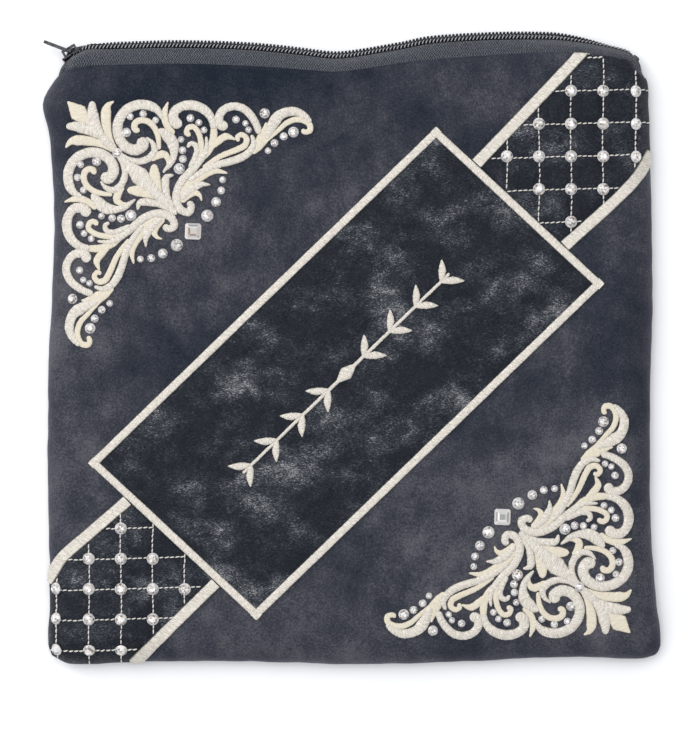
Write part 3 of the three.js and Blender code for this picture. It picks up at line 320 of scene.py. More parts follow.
def shell(top, bottom):
    """A closed body between two grids of the same size, its faces outwards when top is above."""
    rows, columns = top.shape[:2]
    count = rows * columns
    sheet = grid_faces(rows, columns)
    under = sheet[:, ::-1] + count
    ring = np.concatenate([
        np.arange(columns), np.arange(1, rows) * columns + columns - 1,
        (rows - 1) * columns + np.arange(columns - 2, -1, -1), np.arange(rows - 2, 0, -1) * columns])
    after = np.roll(ring, -1)
    side = np.stack([ring, after, after + count, ring + count], -1)
    points = np.concatenate([top.reshape(-1, 3), bottom.reshape(-1, 3)])
    return points, np.concatenate([sheet, under, side])


def tube(rings):
    """A closed body from a stack of rings of points, with a flat face at each end."""
    rows, columns = rings.shape[:2]
    sides = grid_faces(rows, columns, wrap=True).tolist()
    last = (rows - 1) * columns
    return rings.reshape(-1, 3), sides + [list(range(columns))[::-1],
                                          list(range(last, last + columns))]


def many(shapes, faces):
    """The same faces for each of many copies of a small shape, given as an array of copies."""
    copies, each = shapes.shape[0], shapes.shape[1]
    steps = np.arange(copies)[:, None, None] * each
    return shapes.reshape(-1, 3), (np.asarray(faces)[None] + steps).reshape(-1, np.shape(faces)[1])


def many_tubes(rings, reverse=False):
    """A closed body from each of many stacks of rings; reverse is for rings that run the other way
    round, whose faces would point inwards."""
    copies, rows, sides = rings.shape[:3]
    each = rows * sides
    quads = grid_faces(rows, sides, wrap=True)
    caps = np.stack([np.arange(sides)[::-1], each - sides + np.arange(sides)])
    if reverse:
        quads, caps = quads[:, ::-1], caps[:, ::-1]
    shapes = rings.reshape(copies, each, 3)
    points, quads = many(shapes, quads)
    return points, quads.tolist() + many(shapes, caps)[1].tolist()


CURVE_STEPS = 24
OFF_BAG = 0.02


def smooth_path(points, step):
    """A centripetal curve through the points, read at even steps of its own length."""
    points = np.asarray(points, float)
    ends = np.vstack([2 * points[0] - points[1], points, 2 * points[-1] - points[-2]])
    before, start, end, after = ends[:-3], ends[1:-2], ends[2:-1], ends[3:]
    gap = lambda a, b: np.maximum(np.sqrt(np.linalg.norm(b - a, axis=1)), 1e-4)[:, None]
    d0, d1, d2 = gap(before, start), gap(start, end), gap(end, after)
    leave = ((start - before) / d0 - (end - before) / (d0 + d1) + (end - start) / d1) * d1
    reach = ((end - start) / d1 - (after - start) / (d1 + d2) + (after - end) / d2) * d1
    u = np.linspace(0, 1, CURVE_STEPS, endpoint=False)[None, :, None]
    start, end, leave, reach = (v[:, None] for v in (start, end, leave, reach))
    curve = ((2 * u ** 3 - 3 * u ** 2 + 1) * start + (u ** 3 - 2 * u ** 2 + u) * leave
             + (3 * u ** 2 - 2 * u ** 3) * end + (u ** 3 - u ** 2) * reach)
    curve = np.vstack([curve.reshape(-1, points.shape[1]), points[-1]])
    length = np.concatenate([[0], np.cumsum(np.linalg.norm(np.diff(curve, axis=0), axis=1))])
    at = np.linspace(0, length[-1], max(3, int(np.ceil(length[-1] / step)) + 1))
    return np.stack([np.interp(at, length, column) for column in curve.T], -1), at


def turned_left(path):
    """The unit direction to the left of a plan path at each of its points."""
    ahead = np.gradient(path, axis=0)
    ahead /= np.linalg.norm(ahead, axis=1, keepdims=True)
    return np.stack([-ahead[:, 1], ahead[:, 0]], -1)


def stations_to_rim(length, step, roll=20.0, fine=26):
    """Places along a path: even steps, then ever shorter ones as the path goes over the rolled rim."""
    flat = np.arange(0, length - roll, step)
    return np.concatenate([flat, length - roll + roll * np.sin(np.linspace(0, np.pi / 2, fine))])


def off_bag(x, y):
    """True where a plan point is beyond the bag's edge, as its shares then lead back elsewhere."""
    px, py = plan(*shares_at(x, y))
    return np.hypot(px - x, py - y) > OFF_BAG


def walk_to_rim(path):
    """A fine walk along a plan path, its places along, and the place where the bag's edge is."""
    walk, at = smooth_path(path, 0.25)
    off = off_bag(walk[:, 0], walk[:, 1])
    return walk, at, at[np.argmax(off)] if off.any() else at[-1]


# %% [markdown]
# ## Camera, floor and light
# The photograph looks straight down on the bag. A long lens from above keeps the outline true. A wide
# soft light overhead and a weaker one from the upper left leave hardly a shadow, as in a light tent,
# while the second one still picks out the raised thread.

# %% The studio

scene = bpy.context.scene
scene.view_settings.view_transform = "Standard"
CAMERA_HEIGHT = 1.6
FRAME_WIDTH, FRAME_CENTRE_Y = 0.287, -0.0002
BAG_TOP = 0.018
camera = bpy.data.objects.new("camera", bpy.data.cameras.new("camera"))
camera.location = (0.0, FRAME_CENTRE_Y, CAMERA_HEIGHT)
camera.data.sensor_fit = "HORIZONTAL"
camera.data.lens = camera.data.sensor_width * (CAMERA_HEIGHT - BAG_TOP) / FRAME_WIDTH
camera.data.clip_start = 0.05
scene.collection.objects.link(camera)
scene.camera = camera


def add_light(name, place, target, size, power):
    """A square area light that faces its target."""
    light = bpy.data.objects.new(name, bpy.data.lights.new(name, "AREA"))
    light.data.size = size
    light.data.energy = power
    light.location = place
    light.rotation_mode = "QUATERNION"
    light.rotation_quaternion = Vector(np.subtract(target, place)).to_track_quat("-Z", "Y")
    scene.collection.objects.link(light)


add_light("softbox_above", (-0.25, 0.25, 1.5), (0, 0, 0), 1.4, 17.0)
add_light("softbox_side", (-1.2, 0.9, 0.75), (0, 0, 0), 0.6, 7.0)
world = bpy.data.worlds.new("light tent")
world.use_nodes = True
world.node_tree.nodes["Background"].inputs["Color"].default_value = (0.93, 0.95, 1.0, 1)
world.node_tree.nodes["Background"].inputs["Strength"].default_value = 0.72
scene.world = world
print("lens:", round(camera.data.lens, 1), "mm")

# %% [markdown]
# ## Finishes
# Each finish is a small network of nodes: noise in the piece's own Object coordinates for what lies
# anywhere in the cloth, and the UV map in millimetres for what follows a thread or a tape. What is
# the same everywhere is set on the shader itself.

# %% Node helpers


def new_finish(name, **constants):
    """A node material and its shader, whose constant sockets are set directly."""
    material = bpy.data.materials.new(name)
    material.use_nodes = True
    shader = material.node_tree.nodes["Principled BSDF"]
    for socket, value in constants.items():
        shader.inputs[socket.replace("_", " ")].default_value = value
    return material, shader


def add_node(material, kind, inputs=None, **settings):
    """A node of a kind, its settings, and its inputs as values or as sockets to link from."""
    tree = material.node_tree
    node = tree.nodes.new("ShaderNode" + kind)
    for key, value in settings.items():
        setattr(node, key, value)
    for key, value in (inputs or {}).items():
        if isinstance(value, bpy.types.NodeSocket):
            tree.links.new(value, node.inputs[key])
        else:
            node.inputs[key].default_value = value
    return node


def object_places(material, scale=(1, 1, 1), turn=0.0):
    """Object coordinates, turned about +Z by degrees and then stretched."""
    places = add_node(material, "TexCoord").outputs["Object"]
    mapping = add_node(material, "Mapping", {"Vector": places, "Scale": scale,
                                             "Rotation": (0, 0, np.radians(turn))})
    return mapping.outputs["Vector"]


def noise(material, places, size_mm, detail=4.0, roughness=0.55, distortion=0.0):
    """Noise whose features are about size_mm across."""
    node = add_node(material, "TexNoise", {
        "Vector": places, "Scale": 1 / (size_mm * MM), "Detail": detail, "Roughness": roughness,
        "Distortion": distortion})
    return node.outputs["Fac"]


def ramp(material, value, stops):
    """A colour for each value: stops are (place, (red, green, blue)) or (place, grey)."""
    node = add_node(material, "ValToRGB", {"Fac": value})
    elements = node.color_ramp.elements
    while len(elements) < len(stops):
        elements.new(0.5)
    for element, (place, colour) in zip(elements, stops):
        element.position = place
        element.color = (*((colour,) * 3 if np.isscalar(colour) else colour), 1)
    return node.outputs["Color"]


def math(material, operation, a, b=0.0):
    """One sum of two values."""
    return add_node(material, "Math", {0: a, 1: b}, operation=operation).outputs[0]


def weighted(material, *parts):
    """The sum of several values, each times its weight."""
    terms = [math(material, "MULTIPLY", value, weight) for value, weight in parts]
    total = terms[0]
    for term in terms[1:]:
        total = math(material, "ADD", total, term)
    return total


def mix(material, factor, a, b, blend="MIX"):
    """One colour over another."""
    node = add_node(material, "Mix", {0: factor, 6: a, 7: b}, data_type="RGBA", blend_type=blend)
    return node.outputs[2]


def bump(material, shader, height, depth_mm, strength=1.0):
    """Sends a height to the shader's normal, as relief of that depth."""
    normal = shader.inputs["Normal"].links
    node = add_node(material, "Bump", {"Height": height, "Distance": depth_mm * MM,
                                       "Strength": strength})
    if normal:
        material.node_tree.links.new(normal[0].from_socket, node.inputs["Normal"])
    material.node_tree.links.new(node.outputs["Normal"], shader.inputs["Normal"])


def link(material, output, socket):
    """Joins an output to the socket that reads it."""
    material.node_tree.links.new(output, socket)


# %% [markdown]
# ### Velvet
# The pile is dark navy where it stands up and a soft lavender grey where it has been brushed over.
# Broad, cloudy patches with a fuzzy grain give that, and a few soft spots set where the cloth is
# brushed lighter or left darker as a whole; two dark spots along the hem are painted shade of the
# fold at the mouth. A little sheen lifts the rolled edges.

# %% Velvet finish


def soft_spot(material, centre_mm, reach_mm):
    """1 at a place on the bag and 0 beyond its reach, falling evenly between."""
    places = add_node(material, "TexCoord").outputs["Object"]
    scale = [1 / (r * MM) for r in reach_mm] + [0]
    shifted = add_node(material, "VectorMath", {0: places, 1: [c * MM for c in centre_mm] + [0]},
                       operation="SUBTRACT").outputs[0]
    near = add_node(material, "VectorMath", {0: shifted, 1: scale}, operation="MULTIPLY").outputs[0]
    fall = add_node(material, "TexGradient", {"Vector": near}, gradient_type="SPHERICAL")
    return fall.outputs["Fac"]


def velvet_finish(name, dark, middle, light, patch_mm, turn, nap_and_fold_shade_spots):
    """Slow patches, a mottle and the grain of the pile, added up and read as three colours."""
    material, shader = new_finish(name, Roughness=0.9, Specular_IOR_Level=0.12, Sheen_Weight=0.3,
                                  Sheen_Roughness=0.35, Sheen_Tint=(0.55, 0.56, 0.66, 1))
    patches = noise(material, object_places(material, (1, 1.3, 1), turn), patch_mm, 6, 0.62, 0.3)
    mottle = noise(material, object_places(material, (1.5, 1, 1), -10), 14, 4, 0.6, 0.2)
    grain = noise(material, object_places(material), 0.8, 3, 0.85)
    # the spots add brushed nap, and painted shade along the hem's fold
    spots = [(soft_spot(material, centre, reach), amount) for centre, reach, amount in nap_and_fold_shade_spots]
    value = weighted(material, (patches, 0.40), (mottle, 0.20), (grain, 0.40), *spots)
    link(material, ramp(material, value, [(0.385, dark), (0.50, middle), (0.63, light)]),
         shader.inputs["Base Color"])
    bump(material, shader, grain, 0.4, 0.8)
    return material


# place, reach in mm and strength of what has been brushed lighter, or left darker; the third and
# fourth, dark along the hem, are painted shade of the fold at the mouth
nap_and_fold_shade_spots = [
    ((-108, -5), (45, 90), .07), ((-20, -108), (90, 35), .02), ((-2, 123), (55, 22), -.12),
    ((-80, 122), (85, 26), -.13), ((112, -30), (35, 70), -.02), ((48, 112), (30, 16), .06),
    ((-62, 12), (32, 26), -.03), ((55, -28), (34, 22), -.06),
]
velvet = velvet_finish("velvet", (.0085, .0130, .0215), (.0315, .0345, .046), (.103, .099, .112),
                       60, 25, nap_and_fold_shade_spots)
print("velvet:", len(nap_and_fold_shade_spots), "placed spots")

# %% [markdown]
# ### Crushed velvet
# The centre panel and the bands are nearly black, and their pile is pressed flat in small marks that
# run every way. Two stretched noises, crossed, make the marks, whose bright tops are a painted glitter
# of highlights; a slower one makes the worn, lighter clouds.

# %% Crushed velvet finish


def crushed_finish():
    """Marks from two crossed noises, lifted by slow worn clouds, in colour, gloss and relief; the
    brightest marks are painted glints.
    """
    material, shader = new_finish("crushed velvet", Specular_IOR_Level=0.22, Sheen_Weight=0.12,
                                  Sheen_Roughness=0.3, Sheen_Tint=(0.45, 0.5, 0.6, 1))
    one = noise(material, object_places(material, (1, 2.6, 1), 35), 0.9, 3, 0.75, 0.4)
    other = noise(material, object_places(material, (1, 2.6, 1), -50), 0.9, 3, 0.75, 0.4)
    marks = math(material, "MAXIMUM", one, other)
    clouds = noise(material, object_places(material, (1, 1.3, 1), 35), 22, 5, 0.66, 0.15)
    worn = ramp(material, clouds, [(0.42, 0.0), (0.7, 1.0)])
    value = weighted(material, (marks, 0.83), (worn, 0.18))
    # the top stop, a light grey on the highest marks, is painted glitter of highlights on the crushed
    # pile
    colour = ramp(material, value, [(0.35, (.0012, .0022, .0046)), (0.495, (.0058, .0092, .0148)),
                                    (0.60, (.037, .042, .052)), (0.70, (.34, .34, .34))])
    link(material, colour, shader.inputs["Base Color"])
    link(material, ramp(material, marks, [(0.45, .8), (0.75, .4)]), shader.inputs["Roughness"])
    bump(material, shader, marks, 0.3, 0.8)
    return material


crushed_velvet = crushed_finish()

# %% [markdown]
# ### Embroidery thread
# Satin stitch lays fine threads side by side across a stroke, so the UV map's first axis, in
# millimetres along the stroke, counts them. Satin is a pale ivory with painted glints; the cream
# thread of the flat fills is yellower and duller. Each stroke darkens towards its edges: painted
# shade where its crown falls away.

# %% Thread finishes


def thread_finish(name, shade, base, light, roughness, pitch_mm, edge=0.0):
    """Thread across a stroke: ribs along the UV map's first axis, painted glints and painted edge shade.
    """
    material, shader = new_finish(name, Roughness=roughness, Specular_IOR_Level=0.35,
                                  Sheen_Weight=0.1, Sheen_Roughness=0.4)
    uv = add_node(material, "TexCoord").outputs["UV"]
    split = add_node(material, "SeparateXYZ", {0: uv})
    phase = math(material, "MULTIPLY", split.outputs[0], 2 * np.pi / pitch_mm)
    threads = math(material, "SINE", phase)
    strands = add_node(material, "TexNoise", {
        "Vector": add_node(material, "Mapping", {"Vector": uv, "Scale": (2.6, 0.5, 1)}).outputs[0],
        "Scale": 1.0, "Detail": 3.0, "Roughness": 0.6}).outputs["Fac"]
    # painted glints: fine bright specks of highlight on the thread
    painted_glints = noise(material, object_places(material), 0.4, 2, 0.7)
    value = weighted(material, (strands, 0.5), (painted_glints, 0.5), (threads, 0.05))
    colour = ramp(material, value, [(0.34, shade), (0.5, base), (0.66, light)])
    # edge darkens each stroke towards its sides: painted shade where the crown falls away
    rim = ramp(material, math(material, "ABSOLUTE", split.outputs[1]), [(0.84, 1), (1.0, 1 - edge)])
    link(material, mix(material, 1.0, colour, rim, "MULTIPLY"), shader.inputs["Base Color"])
    bump(material, shader, value, 0.14, 0.8)
    return material


# the last number is how much painted shade darkens each stroke's edges
satin_thread = thread_finish("satin thread", (.27, .248, .21), (.55, .508, .44), (.86, .812, .74),
                             .42, .42, .85)
cream_thread = thread_finish("cream thread", (.45, .39, .295), (.605, .545, .43), (.71, .66, .545),
                             .6, .5, .85)
running_thread = thread_finish("running thread", (.36, .34, .30), (.62, .59, .54), (.8, .77, .72),
                               .5, .6)
seam_thread = thread_finish("seam thread", (.20, .205, .215), (.33, .335, .345), (.50, .50, .51),
                            .6, .6)

# %% [markdown]
# ### Zipper tape, coil, metal and lining
# The tape is woven in a herringbone, which the UV map lays along it. The coil is black nylon, the
# slider is a dark grey metal that shows brighter in small worn spots, and the bag is lined with plain
# black cloth.

# %% Finishes of the zipper

TWILL_ROW, TWILL_PITCH = 0.9, 1.05


def tape_finish():
    """A herringbone: ribs along the tape, slanted one way and then the other, under a little fuzz."""
    material, shader = new_finish("zipper tape", Roughness=0.85, Specular_IOR_Level=0.2,
                                  Sheen_Weight=0.2)
    split = add_node(material, "SeparateXYZ", {0: add_node(material, "TexCoord").outputs["UV"]})
    along, aside = split.outputs[0], split.outputs[1]
    slanted = math(material, "ADD", along, math(material, "PINGPONG", aside, TWILL_ROW))
    weave = math(material, "SINE", math(material, "MULTIPLY", slanted, 2 * np.pi / TWILL_PITCH))
    fuzz = noise(material, object_places(material), 0.6, 3, 0.75)
    value = math(material, "ADD", math(material, "MULTIPLY", weave, 0.13),
                 math(material, "ADD", 0.12, math(material, "MULTIPLY", fuzz, 0.75)))
    link(material, ramp(material, value, [(0.34, (.010, .012, .018)), (0.5, (.043, .049, .062)),
                                          (0.66, (.15, .163, .19))]), shader.inputs["Base Color"])
    bump(material, shader, weave, 0.3, 0.9)
    return material


def plain_finish(name, size_mm, stops, depth_mm, roughness_stops, **constants):
    """A finish of one noise: its colour, its roughness and its relief."""
    material, shader = new_finish(name, **constants)
    value = noise(material, object_places(material), size_mm, 5, 0.65)
    link(material, ramp(material, value, stops), shader.inputs["Base Color"])
    link(material, ramp(material, value, roughness_stops), shader.inputs["Roughness"])
    bump(material, shader, value, depth_mm, 0.5)
    return material


zipper_tape = tape_finish()
coil_nylon = plain_finish("coil nylon", 6, [(.35, (.009, .010, .013)), (.7, (.022, .024, .029))],
                          .03, [(.3, .45), (.7, .6)], Specular_IOR_Level=0.25)
coil_core = plain_finish("coil core", 0.8, [(.35, (.002, .0025, .003)), (.7, (.006, .007, .009))],
                         .05, [(.3, .8), (.7, .95)], Specular_IOR_Level=0.1)
dark_metal = plain_finish("dark metal", 1.6, [(.38, (.022, .022, .025)), (.62, (.05, .05, .054)),
                                              (.82, (.22, .215, .21))],
                          .05, [(.3, .5), (.75, .32)], Metallic=0.7)
lining = plain_finish("lining", 1.2, [(.3, (.006, .006, .007)), (.7, (.016, .016, .019))], .1,
                      [(.3, .6), (.7, .8)], Specular_IOR_Level=0.3)

# %% [markdown]
# ### Crystal
# The stones are foil-backed glass. Seen from above, each facet shows one even tone, most of them
# white, some grey and a few dark: painted reflections. Each facet carries its painted reflection as
# an attribute, on a glossy shader under a thin clear coat, which looks right from any side and costs
# no refraction.

# %% Crystal finish and floor

crystal, crystal_shader = new_finish("crystal", Roughness=0.15, Specular_IOR_Level=0.35,
                                     Coat_Weight=0.2, Coat_Roughness=0.03)
# the facet attribute holds each face's painted reflection
painted_facet_reflections = add_node(crystal, "VertexColor", layer_name="facet").outputs["Color"]
link(crystal, painted_facet_reflections, crystal_shader.inputs["Base Color"])

floor_paper = plain_finish("floor paper", 40, [(.2, .9), (.8, .93)], .05, [(.2, .8), (.8, .9)])
FLOOR_SIZE = 4.0
bpy.ops.mesh.primitive_plane_add(size=FLOOR_SIZE, location=(0, 0, 0))
floor = bpy.context.object
floor.name = "floor"
floor.data.materials.append(floor_paper)
floor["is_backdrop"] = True
print("floor:", FLOOR_SIZE, "m wide")

# %% [markdown]
# ## The two panels
# Each panel is one closed shell: its outer face, a rounded fold at the mouth, and its lining inside.
# The lines of the grid crowd together on the rolled edges, where the velvet curves the most. Just
# above the seam the cloth draws in a little, as it does where two panels are sewn and turned.

# %% Front and back panels


def edge_spaced(length, roll, step, rolled=9):
    """Shares from 0 to 1: close at both ends, where the edge rolls, and even between."""
    near = roll * (1 - np.cos(np.linspace(0, np.pi / 2, rolled))) / length
    middle = np.linspace(near[-1], 1 - near[-1], int(round((1 - 2 * near[-1]) * length / step)) + 1)
    return np.concatenate([near[:-1], middle, (1 - near[:-1])[::-1]])


RIM_POINTS = 6
FOLD_REACH = 0.8
DRAWN_IN, DRAWN_HEIGHT = 0.7, 0.6


def panel_section(outer, inner, mouth_reach):
    """Joins the outer and inner face at the mouth by a half ellipse of a few points."""
    middle, half = (outer[:, -1] + inner[:, -1]) / 2, (outer[:, -1] - inner[:, -1]) / 2
    turn = np.linspace(0, np.pi, RIM_POINTS + 2)[1:-1][None, :, None]
    beyond = np.array([0, mouth_reach, 0])
    fold = middle[:, None] + half[:, None] * np.cos(turn) + np.sin(turn) * beyond
    return np.concatenate([outer, fold, inner[:, ::-1]], axis=1)


def panel_body(section):
    """Closes the section along the bottom fold, and both of its side ends."""
    rows, columns = section.shape[:2]
    faces = grid_faces(rows, columns, wrap=True)
    m = np.arange(columns // 2 - 1)
    cap = np.stack([m, m + 1, columns - 2 - m, columns - 1 - m], -1)
    return section.reshape(-1, 3), np.concatenate([faces, cap[:, ::-1], cap + (rows - 1) * columns])


def panel_face(height_at, roll, step, depth, way):
    """The grid of one face: depth 0 outside, the wall's thickness inside; way is +1 front, -1 back."""
    across, up = np.meshgrid(edge_spaced(WIDTH, roll, step), edge_spaced(HEIGHT, roll, step),
                             indexing="ij")
    x, y = plan(across, up)
    z = height_at(across, up)
    lift = abs(z - SEAM_HEIGHT)
    drawn = DRAWN_IN * np.exp(-(lift / DRAWN_HEIGHT) ** 2) if depth == 0 else DRAWN_IN
    left, right, low = across * WIDTH, (1 - across) * WIDTH, up * HEIGHT
    inset = lambda distance: (depth + drawn) * np.maximum(0, 1 - distance / roll)
    sides = roll_share(np.minimum(left, right), roll) * roll_share(low, roll)
    return np.stack([x + inset(left) - inset(right), y + inset(low), z - way * depth * sides], -1)


def back_height(across, up):
    """The underside: flat on the floor but for low waves, rolling up to the seam at three sides."""
    sides = roll_share(np.minimum(across, 1 - across) * WIDTH, BACK_ROLL)
    sides = sides * roll_share(up * HEIGHT, BACK_ROLL)
    x, y = plan(across, up)
    hollow = 0.12 * (1 + waves(x, y, 31, 25, 70)) + 0.05 * (1 + waves(x, y, 32, 6, 15))
    seam = SEAM_HEIGHT - SEAM_GAP
    return seam - (seam - np.maximum(hollow, 0)) * sides


def add_panel(name, node, height_at, roll, step, way):
    """A padded shell of velvet outside and lining inside, in place of a CAD panel."""
    outer, inner = (panel_face(height_at, roll, step, depth, way) for depth in (0, WALL))
    section = panel_section(outer, inner, FOLD_REACH)
    points, faces = panel_body(section)
    columns = section.shape[1]
    inside = (faces % columns).min(axis=1) >= outer.shape[1] + RIM_POINTS
    if way < 0:
        faces = faces[:, ::-1]
    panel = add_piece(name, points, faces, [velvet, lining], "velvet", replaces=[node],
                      face_material=inside.astype(np.int32))


add_panel("bag_front", "bag_front_panel", front_height, FRONT_ROLL, 1.5, 1)
add_panel("bag_back", "bag_back_panel", back_height, BACK_ROLL, 2.4, -1)

# %% [markdown]
# ## Centre panel cloth
# A sheet of crushed velvet lies over the front inside the border. It has a small, uneven relief of
# its own, and goes down at its edges where the satin border holds it.

# %% Centre panel cloth

UNDER_BORDER, CLOTH_SUNK = 2.4, 0.6
EDGE_HEIGHT, CLOTH_HEIGHT, HELD_REACH = 0.25, 0.75, 4.0


def crushed_relief(x, y, edge_distance, depth=0.28):
    """Small crush marks, fading out towards the sewn edges, where the cloth also goes down."""
    free = 1 - np.exp(-(np.maximum(edge_distance, 0) / HELD_REACH) ** 2)
    marks = depth * waves(x, y, 41, 6, 17) + 0.12 * waves(x, y, 42, 3, 6)
    return EDGE_HEIGHT + free * (CLOTH_HEIGHT + marks)


def cloth_body(x, y, above):
    """A closed sheet on the front: its face at a height above the velvet, its back sunk into it."""
    return shell(lay_on_front(x, y, above), lay_on_front(x, y, np.full(x.shape, -CLOTH_SUNK)))


half_long, half_short = PANEL_LENGTH / 2 - UNDER_BORDER, PANEL_WIDTH / 2 - UNDER_BORDER
along, aside = np.meshgrid(np.linspace(-1, 1, 190) * half_long, np.linspace(1, -1, 94) * half_short,
                           indexing="ij")
x, y = np.moveaxis(panel_point(along, aside), -1, 0)
to_edge = np.minimum(half_long - abs(along), half_short - abs(aside))
points, faces = cloth_body(x, y, crushed_relief(x, y, to_edge))
add_piece("centre_panel_cloth", points, faces, crushed_velvet, "crushed_velvet",
          replaces=["centre_panel"])

# %% [markdown]
# ## Satin strips
# A satin border is a padded column of thread: a flattened half ellipse across, with a ridge for each
# few threads and an edge that is never quite even. The strip is a grid of places along and across; every
# point is laid on the front, so that it follows each rise and runs over the rolled rim.

# %% Satin strips

STRIP_STEP = 0.45
STRIP_SUNK = 0.5
# the line that meets the hem, which runs on past it so that the hem cuts it straight
PAST_HEM = {"upper_left": 3.0}


def satin_strip(path, at, widths, height, base, seed, ridge=0.05, ridge_pitch=0.9, lean=0.35,
                across_points=9, round_ends=False, ragged=0.035, fullness=3.6):
    """Rings of points and their UV places: |v|^f + |z|^f = 1 above the cloth, so f = 2 is round and
    more is flatter, and a flat back sunk a little into the cloth."""
    draw = np.random.default_rng(seed)
    half = np.asarray(widths, float) / 2
    if round_ends:
        end = np.minimum(at - at[0], at[-1] - at)
        half = half * np.maximum(roll_share(end, np.maximum(half, 0.3)), 0.12)
    side = turned_left(path)
    v = np.cos(np.linspace(np.pi, 0, across_points))
    rough = draw.normal(0, ragged, (len(at), 2))
    left, right = half + rough[:, 0], half + rough[:, 1]
    offset = np.where(v[None] < 0, v[None] * right[:, None], v[None] * left[:, None])
    x = path[:, 0, None] + side[:, 0, None] * offset
    y = path[:, 1, None] + side[:, 1, None] * offset
    crown = np.maximum(0, 1 - abs(v) ** fullness)[None] ** (1 / fullness)
    crown = crown * np.minimum(height, 0.9 * half[:, None] + 0.15)
    thread = ridge * np.sin(2 * np.pi * (at[:, None] + lean * offset) / ridge_pitch) * (crown > 0.1)
    top = lay_on_front(x, y, base + crown + thread)
    low = lay_on_front(x[:, [-1, 0]], y[:, [-1, 0]], np.full((len(at), 2), base - STRIP_SUNK))
    rings = np.concatenate([top, low], axis=1)
    uv = np.stack(np.broadcast_arrays(at[:, None] + lean * offset, v[None]), -1)
    uv = np.concatenate([uv, uv[:, [-1, 0]]], axis=1)
    return rings, uv


def strips_piece(name, strips, material, slot, **options):
    """Joins several strips into one piece."""
    all_points, all_faces, all_uv, start = [], [], [], 0
    for rings, uv in strips:
        points, faces = tube(rings)
        all_points.append(points)
        all_faces += [[corner + start for corner in face] for face in faces]
        all_uv.append(uv.reshape(-1, 2))
        start += len(points)
    add_piece(name, np.concatenate(all_points), all_faces, material, slot,
              uv=np.concatenate(all_uv), **options)


def uneven_width(width, share, at, seed):
    """A strip's width along it: a share of the full width, and slow waves of a fiftieth."""
    return width * (share + 0.02 * waves(at, 0 * at, seed, 9, 30))


def border_strips():
    """The four sides of the centre border, each reaching over its corners."""
    half_long, half_short = (PANEL_LENGTH - BORDER_WIDTH) / 2, (PANEL_WIDTH - BORDER_WIDTH) / 2
    over = BORDER_WIDTH / 2
    sides = [((-half_long - over, half_short), (half_long + over, half_short)),
             ((half_long, half_short + over), (half_long, -half_short - over)),
             ((half_long + over, -half_short), (-half_long - over, -half_short)),
             ((-half_long, -half_short - over), (-half_long, half_short + over))]
    for k, (start, end) in enumerate(sides):
        path, at = smooth_path([panel_point(*start), panel_point(*end)], STRIP_STEP)
        widths = uneven_width(BORDER_WIDTH, 0.93, at, 50 + k)
        yield satin_strip(path, at, widths, 0.75, 0.35 + 0.02 * k, 60 + k, ridge=0.03, ridge_pitch=0.7)


strips_piece("centre_border_satin", list(border_strips()), satin_thread, "satin_thread",
             replaces=["centre_border"])

for number, name in enumerate(line_rows):
    walk, walked, rim = walk_to_rim(line_path(name))
    at = stations_to_rim(rim + PAST_HEM.get(name, 0), STRIP_STEP)
    path = np.stack([np.interp(at, walked, column) for column in walk.T], -1)
    widths = uneven_width(LINE_WIDTH, 0.94, at, 70 + number)
    strip = satin_strip(path, at, widths, 0.7, 0.3, 80 + number, ridge=0.03, ridge_pitch=0.7,
                        fullness=5.0)
    strips_piece("band_satin_" + name, [strip], satin_thread, "satin_thread",
                 replaces=["band_line_" + name])

# %% [markdown]
# ## Corner bands and their running stitch
# Beyond each short end of the panel a band of crushed velvet runs over the bag's corner between two
# satin lines. It is sewn through in squares, so it puffs between the stitches. Its grid has rays from
# the panel to the bag's edge; each ray ends where the edge is, so the cloth wraps the corner exactly.

# %% Band cloth

# each patch: which way its rows count, an anchor crossing, and its column and row pitch
patch_rows = {
    "upper": (1, (90.6, 85.7), 13.15, 13.4),
    "lower": (-1, (-93.9, -91.6), 13.1, 12.4),
}
ROW_SLOPE = np.tan(np.radians(1.6))
STITCH_DIP = 1.5
UNDER_LINE = 1.5
RIM_FADE, RIM_HEIGHT = 5.0, 0.3
ROLLED_SHARE, ROLLED_STEPS = 0.25, 30


def crossing_places(name, x, y):
    """Places in columns and rows from the patch's anchor; the rows slope a little."""
    way, (ax, ay), column_pitch, row_pitch = patch_rows[name]
    return way * (x - ax) / column_pitch, way * (y - ay - ROW_SLOPE * (x - ax)) / row_pitch


def quilting(name, x, y):
    """Puffed squares: full height in the middle of a square, and down along each stitched line."""
    column, row = crossing_places(name, x, y)
    _, _, column_pitch, row_pitch = patch_rows[name]
    from_column = abs(column - np.round(column)) * column_pitch
    from_row = abs(row - np.round(row)) * row_pitch
    return (1 - np.exp(-(from_column / STITCH_DIP) ** 2)) * (1 - np.exp(-(from_row / STITCH_DIP) ** 2))


def band_grid(name, rays=76, steps=92):
    """Rays from the panel's end to the bag's edge, between the two satin lines, with steps along that
    are shorter where the edge rolls."""
    end = patch_rows[name][0]
    share = np.linspace(0, 1, rays)[:, None, None]
    walk_at = np.linspace(0, 1, 500)
    edges = []
    for side in ("_left", "_right"):
        walk, at = smooth_path(line_path(name + side), 0.25)
        edges.append(np.stack([np.interp(walk_at, at / at[-1], c) for c in walk.T], -1))
    fan = edges[0][None] * (1 - share) + edges[1][None] * share
    fan[:, 0] = panel_point(np.full(rays, end * (PANEL_LENGTH / 2 - 0.8)),
                            end * np.linspace(-1, 1, rays) * BAND_SPACING / 2)
    last = walk_at[np.argmax(off_bag(fan[..., 0], fan[..., 1]), axis=1)]
    even = np.linspace(0, 1 - ROLLED_SHARE, steps - ROLLED_STEPS, endpoint=False)
    closer = ROLLED_SHARE * np.sin(np.linspace(0, np.pi / 2, ROLLED_STEPS))
    want = last[:, None] * np.concatenate([even, 1 - ROLLED_SHARE + closer])[None]
    return [np.stack([np.interp(w, walk_at, ray) for w, ray in zip(want, fan[..., axis])])
            for axis in (0, 1)]


